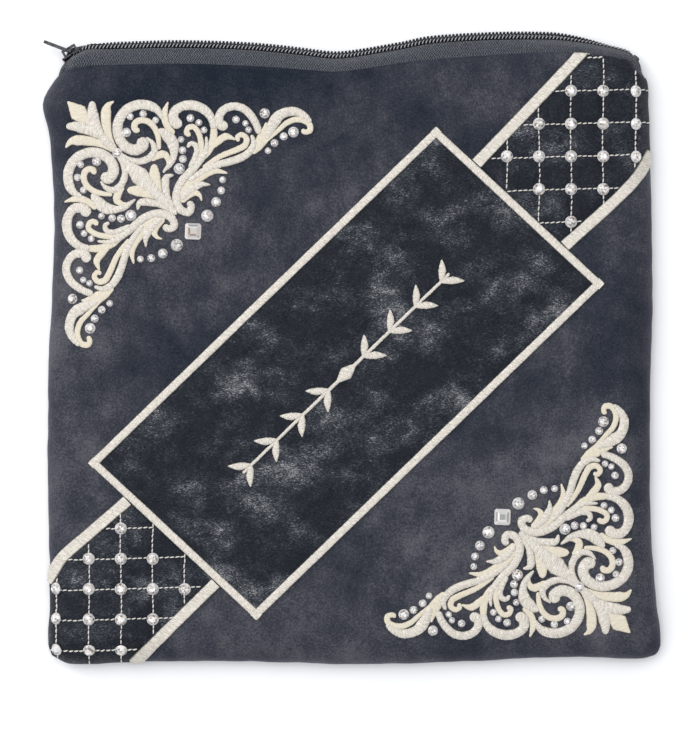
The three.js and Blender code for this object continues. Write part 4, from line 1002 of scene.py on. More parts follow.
for name in patch_rows:
    x, y = band_grid(name)
    held = np.minimum(distance_to(x, y, line_path(name + "_left")),
                      distance_to(x, y, line_path(name + "_right"))) - UNDER_LINE
    held = np.minimum(held, abs(panel_places(x, y)[0]) - PANEL_LENGTH / 2)
    across, up = shares_at(x, y)
    rim = np.minimum(np.minimum(across, 1 - across) * WIDTH, up * HEIGHT)
    on_top = 1 - np.exp(-(rim / RIM_FADE) ** 2)
    puff = crushed_relief(x, y, held, 0.16) * (0.45 + 0.75 * quilting(name, x, y))
    points, faces = cloth_body(x, y, RIM_HEIGHT + (puff - RIM_HEIGHT) * on_top)
    add_piece("band_cloth_" + name, points, faces, crushed_velvet, "crushed_velvet",
              replaces=["corner_band_" + name])

# %% [markdown]
# A running stitch shows as short dashes of twisted thread. Each dash is a small bow: its ends go down
# into the cloth and its middle stands up, a little thicker. Hundreds are the same small grid, placed
# in one array operation.

# %% Running stitch

STITCH_LENGTH, STITCH_WIDTH = 2.1, 0.56
STITCH_BOW, STITCH_LIFT = 0.28, 0.42
STITCHES_A_SQUARE = 6
# the thread's twist turns each dash a little out of its row or column, in radians
ROW_TILT, COLUMN_TILT = 0.16, -0.08


def dashes(centres, headings, rings=5, sides=5):
    """A bow of thread at each centre: an ellipse section that is thickest half way along."""
    s = np.linspace(-1, 1, rings)
    girth = np.sqrt(np.maximum(0, 1 - s ** 4)) * 0.5 + 0.02
    turn = np.linspace(0, 2 * np.pi, sides, endpoint=False)
    ahead = np.stack([np.cos(headings), np.sin(headings)], -1)
    left = np.stack([-ahead[:, 1], ahead[:, 0]], -1)
    side = STITCH_WIDTH * girth[:, None] * np.cos(turn)[None]
    high = STITCH_WIDTH * girth[:, None] * np.sin(turn)[None] + STITCH_BOW * (1 - s ** 2)[:, None]
    forward = (s * STITCH_LENGTH / 2)[None, :, None, None]
    plane = (centres[:, None, None] + ahead[:, None, None] * forward
             + left[:, None, None] * side[None, ..., None])
    above = np.broadcast_to(STITCH_LIFT + high[None], plane.shape[:-1])
    return lay_on_front(plane[..., 0], plane[..., 1], above)


def dash_piece(name, centres, headings):
    """One piece of many dashes, each closed at its ends by its last, tiny ring."""
    bows = dashes(centres, headings)
    rings, sides = bows.shape[1:3]
    points, faces = many_tubes(bows, reverse=True)
    at, around = np.meshgrid(np.linspace(0, STITCH_LENGTH, rings), np.linspace(0, 1, sides),
                             indexing="ij")
    uv = np.broadcast_to(np.stack([at + around, 0 * around], -1)[None], (*bows.shape[:3], 2))
    add_piece(name, points, faces, running_thread, "satin_thread", uv=uv)


def inside_band(name, x, y):
    """True between the two satin lines, past the panel's end and within the bag's edge."""
    across, up = shares_at(x, y)
    rim = np.minimum(np.minimum(across, 1 - across) * WIDTH, np.minimum(up, 1 - up) * HEIGHT)
    keep = ~off_bag(x, y) & (rim > 0.6)
    along, _ = panel_places(x, y)
    keep &= patch_rows[name][0] * along > PANEL_LENGTH / 2 + 0.2
    lines = [line_path(name + side) for side in ("_left", "_right")]
    middle = np.mean([line[0] for line in lines], axis=0)
    for line in lines:
        path = smooth_path(line, 2.0)[0]
        near = np.argmin(np.hypot(x[..., None] - path[:, 0], y[..., None] - path[:, 1]), axis=-1)
        left = turned_left(path)
        off = (x - path[near, 0]) * left[near, 0] + (y - path[near, 1]) * left[near, 1]
        within = np.sign((middle - path[0]) @ left[0])
        keep &= off * within > LINE_WIDTH / 2
    return keep


for name, (way, (ax, ay), column_pitch, row_pitch) in patch_rows.items():
    draw = np.random.default_rng(90 + way)
    steps = np.arange(-8 * STITCHES_A_SQUARE, 8 * STITCHES_A_SQUARE + 1)
    centres, headings = [], []
    for line in range(-4, 5):
        place = steps + 0.5 + 0.3 * draw.uniform(-0.3, 0.3)
        x = ax + place * column_pitch / STITCHES_A_SQUARE
        y = ay + line * row_pitch + ROW_SLOPE * (x - ax)
        centres.append(np.stack([x, y], -1))
        headings.append(np.full(len(x), np.arctan(ROW_SLOPE) + ROW_TILT))
        y = ay + place * row_pitch / STITCHES_A_SQUARE
        x = ax + line * column_pitch + 0.25 * np.sin(y / 9 + line)
        centres.append(np.stack([x, y], -1))
        headings.append(np.full(len(y), np.pi / 2 + COLUMN_TILT))
    centres, headings = np.concatenate(centres), np.concatenate(headings)
    centres = centres + draw.normal(0, 0.05, centres.shape)
    headings = headings + draw.normal(0, 0.06, len(headings))
    keep = inside_band(name, centres[:, 0], centres[:, 1])
    dash_piece("running_stitch_" + name, centres[keep], headings[keep])

# %% [markdown]
# ## Corner ornaments
# Each ornament is embroidered in separate strokes, mirrored about its own diagonal. The table gives a
# centre line and widths in hundredths of an arm. Satin strokes are raised and pale; cream strokes are
# flatter and yellower. The ribs of thread across each stroke are real relief.

# %% The strokes of half an ornament

ARM = 100.4

# each stroke: its thread, 1 where it is mirrored, the points it passes through, and its widths
stroke_rows = [
    ("cream", 0, [(.6, .6), (4.8, 4.8), (7.8, 7.8), (14, 14)], [.5, 7.6, 2.8, 1]),
    ("satin", 1, [(10.7, .3), (10.9, 5.2), (12.6, 11.1), (15.5, 16), (20.4, 21)],
     [2.4, 5, 4.4, 3, 1.6]),
    ("cream", 1, [(19.5, .2), (17, 2.3), (16.4, 6.4), (17.1, 12.1), (18.8, 16.6), (21, 20.4)],
     [.6, 4.4, 4, 2.4, 1.4]),
    ("satin", 1, [(39.6, 7.2), (37.4, 3.6), (34.4, 1.9), (29.4, 1.5), (24.4, 4), (21.5, 9),
                  (21.7, 14.4), (24.6, 18.6), (28.8, 19.9), (31.8, 17.6), (29.6, 15.6)],
     [1.6, 4, 4.2, 4.2, 4.4, 4.4, 4.8, 5]),
    ("cream", 1, [(30.2, 12.4), (28.2, 11.2), (28.5, 8.9), (30.8, 7.8), (33.6, 8.3), (36, 10.4),
                  (37.6, 13.6), (38.4, 19.6)], [2.6, 2.8, 2.6, 2.4, 1.6]),
    ("satin", 1, [(33, 14.6), (35.6, 17), (36.5, 19.8), (34.8, 22.8), (30.4, 24.6), (26, 23.6),
                  (22.6, 21.4)], [.8, 2.6, 3.2, 3, 2, 1.2]),
    ("cream", 1, [(41.7, 0), (40.6, 3.3), (40.4, 6.6), (41.6, 10), (44.4, 13)], [.5, 2.4, 3, 2.8, 2]),
    ("satin", 1, [(38.1, 11.2), (41, 13.4), (43.6, 16.4), (44.4, 19.9), (43.8, 23.8), (40.1, 29.1)],
     [2, 5, 5, 3, 2.6, .9]),
    ("cream", 1, [(35, 24.2), (37.8, 22), (40.7, 21.6), (42, 23.6), (41.8, 25.8)],
     [1.6, 3.2, 3.4, 2.4, .8]),
    ("satin", 0, [(20.4, 20.4), (25.8, 25.8), (30.8, 30.8), (36, 36), (46, 46)],
     [1.6, 3.4, 7.8, 5.4, 4, 2.4]),
    ("cream", 1, [(36.4, 25.6), (36.7, 30.2), (37.8, 34), (39.4, 38.4)], [2.4, 4.8, 3.6, 1.4]),
    ("satin", 1, [(44.5, 29.9), (41.6, 30.9), (41.2, 34.3), (42.1, 38.5), (44.6, 43.2)],
     [.8, 3.4, 3.2, 2.2, 1.4]),
    ("satin", 1, [(57.5, 13.8), (57.6, 19.6), (53, 26.5), (47.6, 32.7), (45.7, 38.9), (47.6, 44),
                  (51, 45), (51.8, 42.2), (50.2, 41)], [1, 2.8, 3.4, 3.4, 3.6, 3.4, 3]),
    ("satin", 1, [(47.4, 9.8), (44.4, 8), (44.2, 4.4), (47.1, 2), (50.8, 1.3), (54.7, 2.1),
                  (58, 4.4), (59.9, 7.4), (60.6, 11)], [4.8, 4.4, 3.8, 4.2, 4, 3.4, 2.8]),
    ("cream", 1, [(60.6, 9.4), (60.5, 14), (59.9, 17), (58.2, 20.5), (54.6, 24.6)],
     [2.6, 3.2, 3.2, 2.6, 1.4]),
    ("cream", 1, [(51, 13.8), (49.5, 12.4), (50.2, 10.5), (52.2, 10.1), (54, 12), (55.2, 15.4),
                  (55.4, 19), (54.4, 22.8), (50.4, 28.4)], [2.4, 2.4, 2.4, 2.6, 2.6, 1.6]),
    ("satin", 1, [(49.8, 18.6), (51.1, 16.9), (53, 17.4), (53.8, 19.6), (53, 23), (50.8, 27)],
     [1.4, 2.4, 2.4, 2.6, 1.6]),
    ("satin", 1, [(66.2, 9.9), (63, 8.8), (62.8, 5.2), (65, 2.6), (69, 1.4), (73.2, 2.8), (76, 5.6),
                  (77.9, 8.8), (79.2, 12.6)], [4.6, 3.8, 3.4, 3.4, 3.4, 3.2, 2.8]),
    ("cream", 1, [(59.6, 18.6), (62.4, 15.8), (65.6, 13.8), (69.6, 15)], [2, 3.2, 3, .6]),
    ("cream", 1, [(70.8, 15.8), (70.2, 14), (72, 12.9), (74, 14.6), (73.4, 17.2), (70.4, 19),
                  (63.6, 21.9), (56.4, 26.8)], [1.8, 2.4, 2.8, 2.6, 2.4, 2.2, 1.6]),
    ("satin", 1, [(76, 12.9), (76.9, 16.6), (75.3, 19.9), (72.2, 22.2), (67.9, 23.9), (62, 25.6),
                  (56, 28.5), (50.6, 32.4)], [1.4, 3, 3.4, 3.2, 3, 2.8, 2]),
    ("cream", 1, [(76.4, 20.8), (78.6, 17.8), (80.4, 14.5), (81.4, 11.2), (81.9, 7.6)],
     [1.4, 3.8, 5.2, 3.2, .7]),
    ("satin", 1, [(82, 14.6), (84.6, 8.4), (87.4, 4.7), (90.8, 3.3), (94.3, 3.3), (97.7, 5),
                  (100.3, 7.5)], [2, 4, 5, 4, 3.8, 3, 1.8]),
    ("cream", 1, [(81.6, 16), (87.3, 10.5), (90.6, 7.6), (94.1, 6.4), (97.4, 6.8), (99.7, 8.6),
                  (99.7, 10.9), (97.7, 11.4), (96.4, 10.4)], [1, 1.6, 2.2, 2.4, 2.6, 2.6, 2]),
    ("cream", 1, [(47.4, 38.4), (51.1, 33.6), (55.5, 30), (61, 27.9), (66.6, 28.8)],
     [2, 3.6, 4.6, 3, .6]),
    ("satin", 1, [(47.6, 40), (51.6, 35.6), (55.6, 33.6), (59.6, 33.6)], [2, 3.6, 3.2, .6]),
    ("cream", 1, [(47.8, 41), (50.7, 37.9), (53.5, 37), (55.4, 38.2), (56.1, 40.3)],
     [2, 3.2, 3.2, 2, .5]),
]

# each thread's height above the cloth, and its ridges, their lean and how full the section is
stroke_looks = {
    "satin": {"height": 0.85, "ridge": 0.035, "lean": 0.5, "fullness": 2.3},
    "cream": {"height": 0.5, "ridge": 0.02, "lean": -0.6, "fullness": 3.5},
}
STROKE_STEP, RIDGE_PITCH = 0.36, 0.72

# each ornament's corner as shares of the bag, its arms' headings and the second arm's stretch
ornament_rows = {
    "upper_left": ((-.4656, .4463), -1, -91, 1.0),
    "lower_right": ((.462, -.4512), 181.7, 90, .935),
}


def ornament_place(name, a, b):
    """A plan point from hundredths along the ornament's two arms."""
    (cx, cy), arm, other, stretch = ornament_rows[name]
    way = np.multiply.outer(np.asarray(a, float), compass(arm)) * ARM / 100
    way = way + np.multiply.outer(np.asarray(b, float), compass(other)) * ARM * stretch / 100
    return np.array([cx * WIDTH, cy * HEIGHT]) + way


def stroke_strips(name, thread):
    """Every stroke of one thread, and its mirror image about the diagonal."""
    for number, (kind, mirrored, through, widths) in enumerate(stroke_rows):
        if kind != thread:
            continue
        a, b = np.array(through, float).T
        for flip in range(1 + mirrored):
            places = ornament_place(name, b if flip else a, a if flip else b)
            path, at = smooth_path(places, STROKE_STEP)
            knots = np.linspace(0, at[-1], len(widths))
            wide = np.interp(at, knots, np.array(widths) * ARM / 100) * 1.03
            yield satin_strip(path, at, wide, base=0.12 + 0.012 * number,
                              seed=200 + 2 * number + flip, ridge_pitch=RIDGE_PITCH, across_points=7,
                              round_ends=True, ragged=0.05, **stroke_looks[thread])


for name in ornament_rows:
    strips_piece("ornament_satin_" + name, list(stroke_strips(name, "satin")), satin_thread,
                 "satin_thread", replaces=["corner_embroidery_" + name])
    strips_piece("ornament_cream_" + name, list(stroke_strips(name, "cream")), cream_thread,
                 "cream_thread")

# %% [markdown]
# ## Leaf sprig
# A plain sprig of leaves lies along the middle of the centre panel: a stem, paired leaves, and a
# lozenge between its two halves. It is made of the same satin strips.

# %% Leaf sprig

SPRIG_LENGTH, LEAF_LENGTH, LEAF_WIDTH, LEAF_PAIRS, LEAF_LEAN = 118, 9.5, 3.4, 4, 42


def sprig_strips():
    """Stem, lozenge and leaves, each a centre line with its widths."""
    half = SPRIG_LENGTH / 2
    rows = [([(-half, 0), (0, 0), (half, 0)], [1.3, 1.6, 1.3]),
            ([(-5.5, 0), (0, 0), (5.5, 0)], [.6, 3.6, 6, 3.6, .6])]
    for end in (-1, 1):
        for side in (-1, 1):
            for k in range(1, LEAF_PAIRS + 1):
                foot = end * half * (k - .35) / LEAF_PAIRS
                ahead = end * np.cos(np.radians(LEAF_LEAN)) * LEAF_LENGTH
                aside = -side * np.sin(np.radians(LEAF_LEAN)) * LEAF_LENGTH
                rows.append(([(foot, 0), (foot + .55 * ahead, .45 * aside),
                              (foot + ahead, aside)], [.7, 2.6, LEAF_WIDTH, 2.4, .4]))
    for number, (places, widths) in enumerate(rows):
        path, at = smooth_path([panel_point(*p) for p in places], STROKE_STEP)
        wide = np.interp(at, np.linspace(0, at[-1], len(widths)), widths)
        yield satin_strip(path, at, wide, 0.95, 0.95 + 0.02 * (number % 5), 400 + number,
                          ridge=0.06, ridge_pitch=RIDGE_PITCH, across_points=7,
                          round_ends=True, ragged=0.05)


strips_piece("sprig_satin", list(sprig_strips()), satin_thread, "satin_thread",
             replaces=["centre_sprig"])

# %% [markdown]
# ## Stones
# A hot-fix stone has a flat back, a girdle and a crown of small facets up to its table. One stone is a
# few dozen flat faces; every other is a copy that is turned, sized and tilted to the cloth under it.
# The photograph's stones differ in tone from facet to facet, so each face draws a seeded tone, a
# painted reflection.

# %% Stones


def ring_of(count, radius, height, turn=0.0):
    """Points evenly round a circle at a height, turned by a part of their spacing."""
    angle = 2 * np.pi * (np.arange(count) + turn) / count
    return np.stack([radius * np.cos(angle), radius * np.sin(angle), np.full(count, height)], -1)


def round_stone():
    """Back, girdle of sixteen, a ring of eight between, a table of eight and its middle."""
    points = np.concatenate([ring_of(16, .5, 0), ring_of(16, .5, .07), ring_of(8, .385, .27, .5),
                             ring_of(8, .235, .38), [[0, 0, .385]]])
    faces = [list(range(15, -1, -1))]
    faces += [[k, (k + 1) % 16, 16 + (k + 1) % 16, 16 + k] for k in range(16)]
    for k in range(8):
        a, b, c = 16 + 2 * k, 16 + 2 * k + 1, 16 + (2 * k + 2) % 16
        mid, after = 32 + k, 32 + (k + 1) % 8
        faces += [[a, b, mid], [b, c, mid], [c, after, mid]]
        top, nxt = 40 + k, 40 + (k + 1) % 8
        faces += [[mid, nxt, top], [mid, after, nxt], [top, nxt, 48]]
    tone = ["back"] + ["rim"] * 16 + ["rim", "rim", "crown", "crown", "star", "table"] * 8
    return points, faces, tone


def square_stone():
    """Step cut: squares with cut corners, each smaller and higher than the last."""
    steps = [(.5, 0, .8), (.5, .1, .8), (.4, .2, .85), (.29, .29, .9), (.17, .32, .95)]
    rings = []
    for size, height, cut in steps:
        c = size * cut
        corners = [(size, -c), (size, c), (c, size), (-c, size), (-size, c), (-size, -c),
                   (-c, -size), (c, -size)]
        rings.append([(x, y, height) for x, y in corners])
    faces, tone = [list(range(7, -1, -1))], ["back"]
    for level in range(4):
        low, high = 8 * level, 8 * level + 8
        faces += [[low + k, low + (k + 1) % 8, high + (k + 1) % 8, high + k] for k in range(8)]
        tone += [["rim", "rim", "crown", "star"][level]] * 8
    faces.append(list(range(32, 40)))
    return np.array(rings, float).reshape(-1, 3), faces, tone + ["table"]


# the lowest and the highest painted reflection tone of each kind of facet
painted_reflection_rows = {"back": (.3, .3), "rim": (.46, .72), "crown": (.3, .76), "star": (.24, .66),
             "table": (.26, .84)}
# the share of inner facets painted as dark reflections, and how much of their tone they keep
DARK_REFLECTION_SHARE, DARK_REFLECTION_TONE = 0.16, 0.36
# a warm tint on the painted reflections, and how much it varies
WARMTH, WARMTH_SPREAD = 0.026, 0.02
SLOPE_REACH = 1.5
SQUARE_HEADING = -2.0


def stones_piece(name, stone, centres, diameters, above, seed, replaces=(), heading=None):
    """Copies of a stone at plan points, each on the slope of the cloth and with its own painted
    reflection tones. It is turned to the heading in degrees, or any way where none is given."""
    base, faces, tones = stone
    draw = np.random.default_rng(seed)
    centres, diameters = np.asarray(centres, float), np.asarray(diameters, float)
    count, reach = len(centres), SLOPE_REACH
    places = [lay_on_front(centres[:, 0] + dx, centres[:, 1] + dy, np.full(count, above))
              for dx, dy in ((0, 0), (reach, 0), (-reach, 0), (0, reach), (0, -reach))]
    along, aside = places[1] - places[2], places[3] - places[4]
    normal = np.cross(along, aside)
    normal /= np.linalg.norm(normal, axis=1, keepdims=True)
    along /= np.linalg.norm(along, axis=1, keepdims=True)
    aside = np.cross(normal, along)
    turn = np.full(count, np.radians(heading or 0))
    if heading is None:
        turn = draw.uniform(0, 2 * np.pi, count)
    c, s = np.cos(turn), np.sin(turn)
    axes = np.stack([c[:, None] * along + s[:, None] * aside,
                     -s[:, None] * along + c[:, None] * aside, normal], 1)
    points = places[0][:, None] + diameters[:, None, None] * np.einsum("vk,nkx->nvx", base, axes)
    low, high = np.array([painted_reflection_rows[t] for t in tones]).T
    # each face's grey is a painted reflection of the foil and the room
    grey = low + (high - low) * draw.random((count, len(faces))) ** 0.8
    inner = np.array([tone in ("crown", "star", "table") for tone in tones])
    dark = (draw.random((count, len(faces))) < DARK_REFLECTION_SHARE) & inner
    grey = np.where(dark, DARK_REFLECTION_TONE * grey, grey)
    warm = draw.normal(WARMTH, WARMTH_SPREAD, (count, len(faces)))
    colours = np.clip(np.stack([grey + warm, grey, grey - 0.8 * warm], -1), 0.02, 1).reshape(-1, 3)
    all_faces = [[corner + k * len(base) for corner in face] for k in range(count) for face in faces]
    add_piece(name, points, all_faces, crystal, "crystal", replaces=replaces, smooth=False,
              colours=colours)


# the stones of a patch: for each row, its first and last column
stone_chart = {2: (0, 2), 1: (-1, 2), 0: (-2, 2), -1: (-1, 1), -2: (0, 0)}
for name, (way, (ax, ay), column_pitch, row_pitch) in patch_rows.items():
    crossings = np.array([(column, row) for row, (first, last) in stone_chart.items()
                          for column in range(first, last + 1)], float)
    x = ax + way * crossings[:, 0] * column_pitch
    y = ay + way * crossings[:, 1] * row_pitch
    nodes = [f"band_crystal_{name}_{k + 1}" for k in range(len(crossings))]
    stones_piece("band_stones_" + name, round_stone(), np.stack([x, y], -1), np.full(len(x), 5.0),
                 0.75, 300 + way, replaces=nodes)

# places of the smaller corner stones in hundredths of an arm, and their diameters in mm
corner_stone_rows = [
    (26.3, 6.4, 2.9), (31.6, 5.2, 3.1), (36.7, 7.7, 2.9), (24.9, 12.9, 3.8), (50.9, 6.6, 3.2),
    (54.4, 8.3, 2.8), (56.5, 11.3, 2.8), (47.2, 15.3, 2.7), (47.9, 19.7, 3.1), (48.1, 23.3, 3.3),
    (46.7, 27.3, 4.6), (69.5, 6.8, 3.1), (73.4, 8.3, 2.6), (74.7, 10.9, 2.7), (81.2, 4.1, 4.2),
    (82.8, 19.3, 2.7), (85.4, 16.1, 3.2), (89.1, 13.3, 3.3), (93.1, 11.5, 4.4), (64.5, 31.5, 2.8),
    (64.0, 35.9, 3.2), (62.0, 40.6, 4.0), (58.5, 46.3, 5.0),
]
for number, name in enumerate(ornament_rows):
    a, b, dia = np.array(corner_stone_rows).T
    a, b = np.concatenate([a, b, [21.3]]), np.concatenate([b, a, [21.3]])
    nodes = [f"round_crystal_{name}_{k}" for k in (1, 2)]
    stones_piece("corner_stones_" + name, round_stone(), ornament_place(name, a, b),
                 np.concatenate([dia, dia, [4.1]]), 0.1, 320 + number, replaces=nodes)
    stones_piece("step_cut_stone_" + name, square_stone(), ornament_place(name, [52.8], [52.8]),
                 [6.6], 0.1, 330 + number, replaces=["square_crystal_" + name],
                 heading=SQUARE_HEADING)

# %% [markdown]
# ## Zipper
# The zipper is open: each half runs along its own side of the mouth, its tape rising from under the
# fold to a coil of nylon. Each cross-section of a tape is a curve from the fold by a knee to the
# tape's edge, and the tables give knee and edge along the bag as shares of the tape's width. Both
# tapes run on a little past the coils and taper off along the hem, as cloth that is tucked into a
# seam does. Beside the slider the back tape is drawn outwards, so that cloth lies behind the openings
# of its bail.

# %% Tapes

TAPE_WIDTH, CHAIN_HEIGHT = 7.4, 7.5

# stations along the chain as shares of the bag's width, and each half's knee and edge there
chain_at = [-.458, -.45, -.442, -.436, -.4232, -.41, -.377, -.28, -.18, -.115, -.049, -.008, .082,
            .131, .23, .328, .377, .426, .457, .465]
chain_rows = {
    "front": {
        "edge": [.53, .665, .81, .89, .95, .92, .93, .945, .945, .91, .8, .77, .8, .94, .9, .73, .63,
                 .52, .45, .44],
        "edge_height": [.574, .574, .574, .59, .64, .7, .72, .72, .71, .7, .68, .66, .68, .72, .72,
                        .7, .66, .56, .48, .47],
        "knee": [.53, .665, .8, .85, .84, .63, .5, .5, .5, .49, .46, .45, .46, .5, .49, .43, .43,
                 .42, .38, .37],
        "knee_height": [1.25, 1.25, 1.25, 1.2, 1.0, .95, .87, .86, .85, .86, .92, .92, .92, .86,
                        .88, 1.0, 1.02, .95, .86, .84],
    },
    "back": {
        "edge": [.53, .665, .81, .9, .98, 1.0, 1.04, 1.08, 1.08, 1.04, .93, .9, .93, 1.08, 1.05, .9,
                 .76, .6, .54, .53],
        "edge_height": [-.574, -.574, -.574, -.59, -.62, -.66, -.7, -.72, -.72, -.72, -.7, -.7, -.7,
                        -.72, -.72, -.68, -.62, -.56, -.54, -.53],
        "knee": [.53, .665, .8, .88, .82, .62, .54, .54, .54, .54, .51, .49, .51, .54, .54, .51,
                 .51, .52, .48, .47],
        "knee_height": [-.88] * 18 + [-.86, -.85],
    },
}
COIL_FIRST, TAPE_FIRST, CHAIN_LAST = -.4548, -.4523, .465
UNDER_HEM = 1.5
LEFT_TIP, RIGHT_TIP = -5.4, 4.2
TIP_POWER = {"front": 2, "back": 4}
DRAWN_OUT, DRAWN_LENGTH = np.array([0, 4.6, -1.0]), 11.0
TAPE_WEAVE_WIDTH = 9.0


def unit(v):
    """Each vector scaled to a length of 1."""
    return v / np.linalg.norm(v, axis=-1, keepdims=True)


def across_at_hem(x):
    """The share across the bag of places along the hem."""
    left, right = (plan(np.full_like(x, side), np.ones_like(x))[0] for side in (0, 1))
    return np.clip((x - left) / (right - left), 0.001, 0.999)


def hem_at(half, x):
    """Height along y and z of a panel's hem at places along x."""
    across = across_at_hem(x)
    height_at = front_height if half == "front" else back_height
    return plan(across, np.ones_like(x))[1], height_at(across, np.ones_like(x))


def chain_curve(half, at, t):
    """Points of a tape half: stations along x, and a curve of second degree from hem by knee to edge,
    with the edge itself and its direction away from the knee."""
    rows = {key: TAPE_WIDTH * table_curve(at, chain_at, values)
            for key, values in chain_rows[half].items()}
    x = at * WIDTH
    across, (hem, height) = across_at_hem(x), hem_at(half, x)
    sides = roll_share(np.minimum(across, 1 - across) * WIDTH, FRONT_ROLL)
    way = -1 if half == "front" else 1
    start = np.stack([x, hem - UNDER_HEM, height + way * WALL / 2 * sides], -1)
    knee = np.stack([x, hem + rows["knee"], CHAIN_HEIGHT + rows["knee_height"]], -1)
    edge = np.stack([x, hem + rows["edge"], CHAIN_HEIGHT + rows["edge_height"]], -1)
    t = np.asarray(t)[None, :, None]
    curve = (1 - t) ** 2 * start[:, None] + 2 * t * (1 - t) * knee[:, None] + t ** 2 * edge[:, None]
    return curve, edge, unit(edge - knee)


def tape_tip(half, section, reach):
    """Sections beyond the tape's last one, moved along the hem, and their sizes, which fall with the
    square or the fourth power of the way s."""
    s = np.linspace(0, 1, 20)[1:]
    x = section[0, 0] + reach * s
    (hem, height), (first_hem, first_height) = hem_at(half, x), hem_at(half, section[:1, 0])
    start = section[0] + np.stack([reach * s, hem - first_hem, height - first_height], -1)
    size = (1 - 0.93 * s ** TIP_POWER[half])[:, None, None]
    return start[:, None] + (section - section[0])[None] * size, size[:, :, 0]


for half in chain_rows:
    at = np.linspace(TAPE_FIRST, CHAIN_LAST, 160)
    t = np.linspace(0, 1, 13)
    curve, _, _ = chain_curve(half, at, t)
    if half == "back":
        free = np.clip(1 - (at - TAPE_FIRST) * WIDTH / DRAWN_LENGTH, 0, 1)
        curve = curve + (free[:, None] * t[None] ** 2)[..., None] * DRAWN_OUT
    left_tip, left_size = tape_tip(half, curve[0], LEFT_TIP)
    right_tip, right_size = tape_tip(half, curve[-1], RIGHT_TIP)
    size = np.concatenate([left_size[::-1], np.ones((len(at), 1)), right_size])
    curve = np.concatenate([left_tip[::-1], curve, right_tip])
    normal = unit(np.cross(np.gradient(curve, axis=0), np.gradient(curve, axis=1)))
    swell = 0.36 + 0.14 * np.exp(-((t - 1) / .06) ** 2) + 0.05 * np.exp(-((t - .55) / .05) ** 2)
    swell = (swell[None] * (0.3 + 0.7 * size))[..., None]
    points, faces = shell(curve + normal * swell, curve - normal * swell)
    uv = np.stack(np.broadcast_arrays(curve[:, :1, 0], t[None] * TAPE_WEAVE_WIDTH), -1)
    add_piece("tape_" + half, points, faces, zipper_tape, "zipper_tape",
              uv=np.concatenate([uv.reshape(-1, 2)] * 2), replaces=["zipper_tape_" + half])

# %% [markdown]
# A coil zipper's teeth are one nylon wire wound in flat loops. Each loop swells into a head on its
# outer side, where the other half's heads lock in. A dark core fills the loops, and a row of sewing
# thread above and one below hold them to the tape. Near the slider the front coil leans outwards, as
# it does in the photograph.

# %% Coils and their sewing

COIL_PITCH, WIRE = 1.5, 0.31
LOOP_WIDTH, LOOP_HEIGHT = 0.98, 0.64
LEAN, LEAN_AT, LEAN_REACH = np.array([0, 1, 0.4]) * 1.6, -0.424, 0.016
FROM_EDGE = {"front": 1.35, "back": 2.1}
# how far each core lies nearer its tape than the wire does, and its width
core_rows = {"front": (0.0, 1.12), "back": (0.35, 0.7)}
CORE_HEIGHT = 0.62
THREAD_WIDTH, THREAD_HEIGHT = .24, .18


def coil_frame(half, at):
    """Centre, direction along, direction away from the tape, and normal, at each station."""
    _, edge, tangent = chain_curve(half, at, [1.0])
    if half == "front":
        tangent = unit(tangent + np.exp(-((at - LEAN_AT) / LEAN_REACH) ** 2)[:, None] * LEAN)
    along = unit(np.gradient(edge, axis=0))
    normal = unit(np.cross(along, tangent))
    side = np.cross(normal, along)
    return edge + side * FROM_EDGE[half], along, side, normal


def measured_coil(half):
    """The coil's frame at 400 stations, and how far along its centre line each of them is."""
    rows = coil_frame(half, np.linspace(COIL_FIRST, CHAIN_LAST, 400))
    steps = np.linalg.norm(np.diff(rows[0], axis=0), axis=1)
    return rows, np.concatenate([[0], np.cumsum(steps)])


def read_coil(rows, length, s):
    """The same frame at distances s along the centre line."""
    return [np.stack([np.interp(s, length, column) for column in v.T], -1) for v in rows]


def coil_wire(rows, length, turns, steps=14, sides=6):
    """A wire wound round the coil's centre line: an ellipse, one turn for each pitch."""
    s = np.linspace(0, turns * COIL_PITCH, turns * steps + 1)
    centre, _, side, normal = read_coil(rows, length, s)
    phase = 2 * np.pi * s / COIL_PITCH
    head = np.clip(np.cos(phase), 0, 1)[:, None] ** 3
    wire = centre + side * (LOOP_WIDTH * np.cos(phase))[:, None]
    wire = wire + normal * (LOOP_HEIGHT * np.sin(phase))[:, None]
    ahead = unit(np.gradient(wire, axis=0))
    out = unit(wire - centre)
    beside = np.cross(out, ahead)
    angle = np.linspace(0, 2 * np.pi, sides, endpoint=False)
    ring = (out[:, None] * (np.cos(angle) * WIRE)[None, :, None] * (1 + 0.2 * head[:, None])
            + beside[:, None] * (np.sin(angle) * WIRE)[None, :, None] * (1 + 0.55 * head[:, None]))
    return wire[:, None] + ring


def coil_filling(half, sides=10):
    """An elliptic tube along the coil's centre line, inside its loops."""
    centre, _, side, normal = coil_frame(half, np.linspace(COIL_FIRST, CHAIN_LAST, 300))
    angle = np.linspace(0, 2 * np.pi, sides, endpoint=False)
    nearer, width = core_rows[half]
    return (centre[:, None] - side[:, None] * nearer
            + side[:, None] * (width * np.cos(angle))[None, :, None]
            - normal[:, None] * (CORE_HEIGHT * np.sin(angle))[None, :, None])


def coil_sewing(rows, length, turns, rings=5, sides=5):
    """Short bowed threads, one over each loop and one under it, from the tape to the coil's middle."""
    centre, along, side, normal = read_coil(rows, length, (np.arange(turns) + .5) * COIL_PITCH)
    share = np.linspace(0, 1, rings)[None, :, None]
    angle = np.linspace(0, 2 * np.pi, sides, endpoint=False)
    loops = []
    for face in (1, -1):
        start = centre - side * 1.0 + normal * face * .72 - along * .42
        end = centre + side * .42 + normal * face * .92 + along * .42
        line = start[:, None] * (1 - share) + end[:, None] * share
        line = line + normal[:, None] * face * (.2 * np.sin(np.pi * share))
        across = along[:, None, None] * (np.cos(angle) * THREAD_WIDTH)[None, None, :, None]
        high = normal[:, None, None] * (np.sin(angle) * THREAD_HEIGHT)[None, None, :, None]
        loops.append(line[:, :, None] + (across + high))
    return np.concatenate(loops)


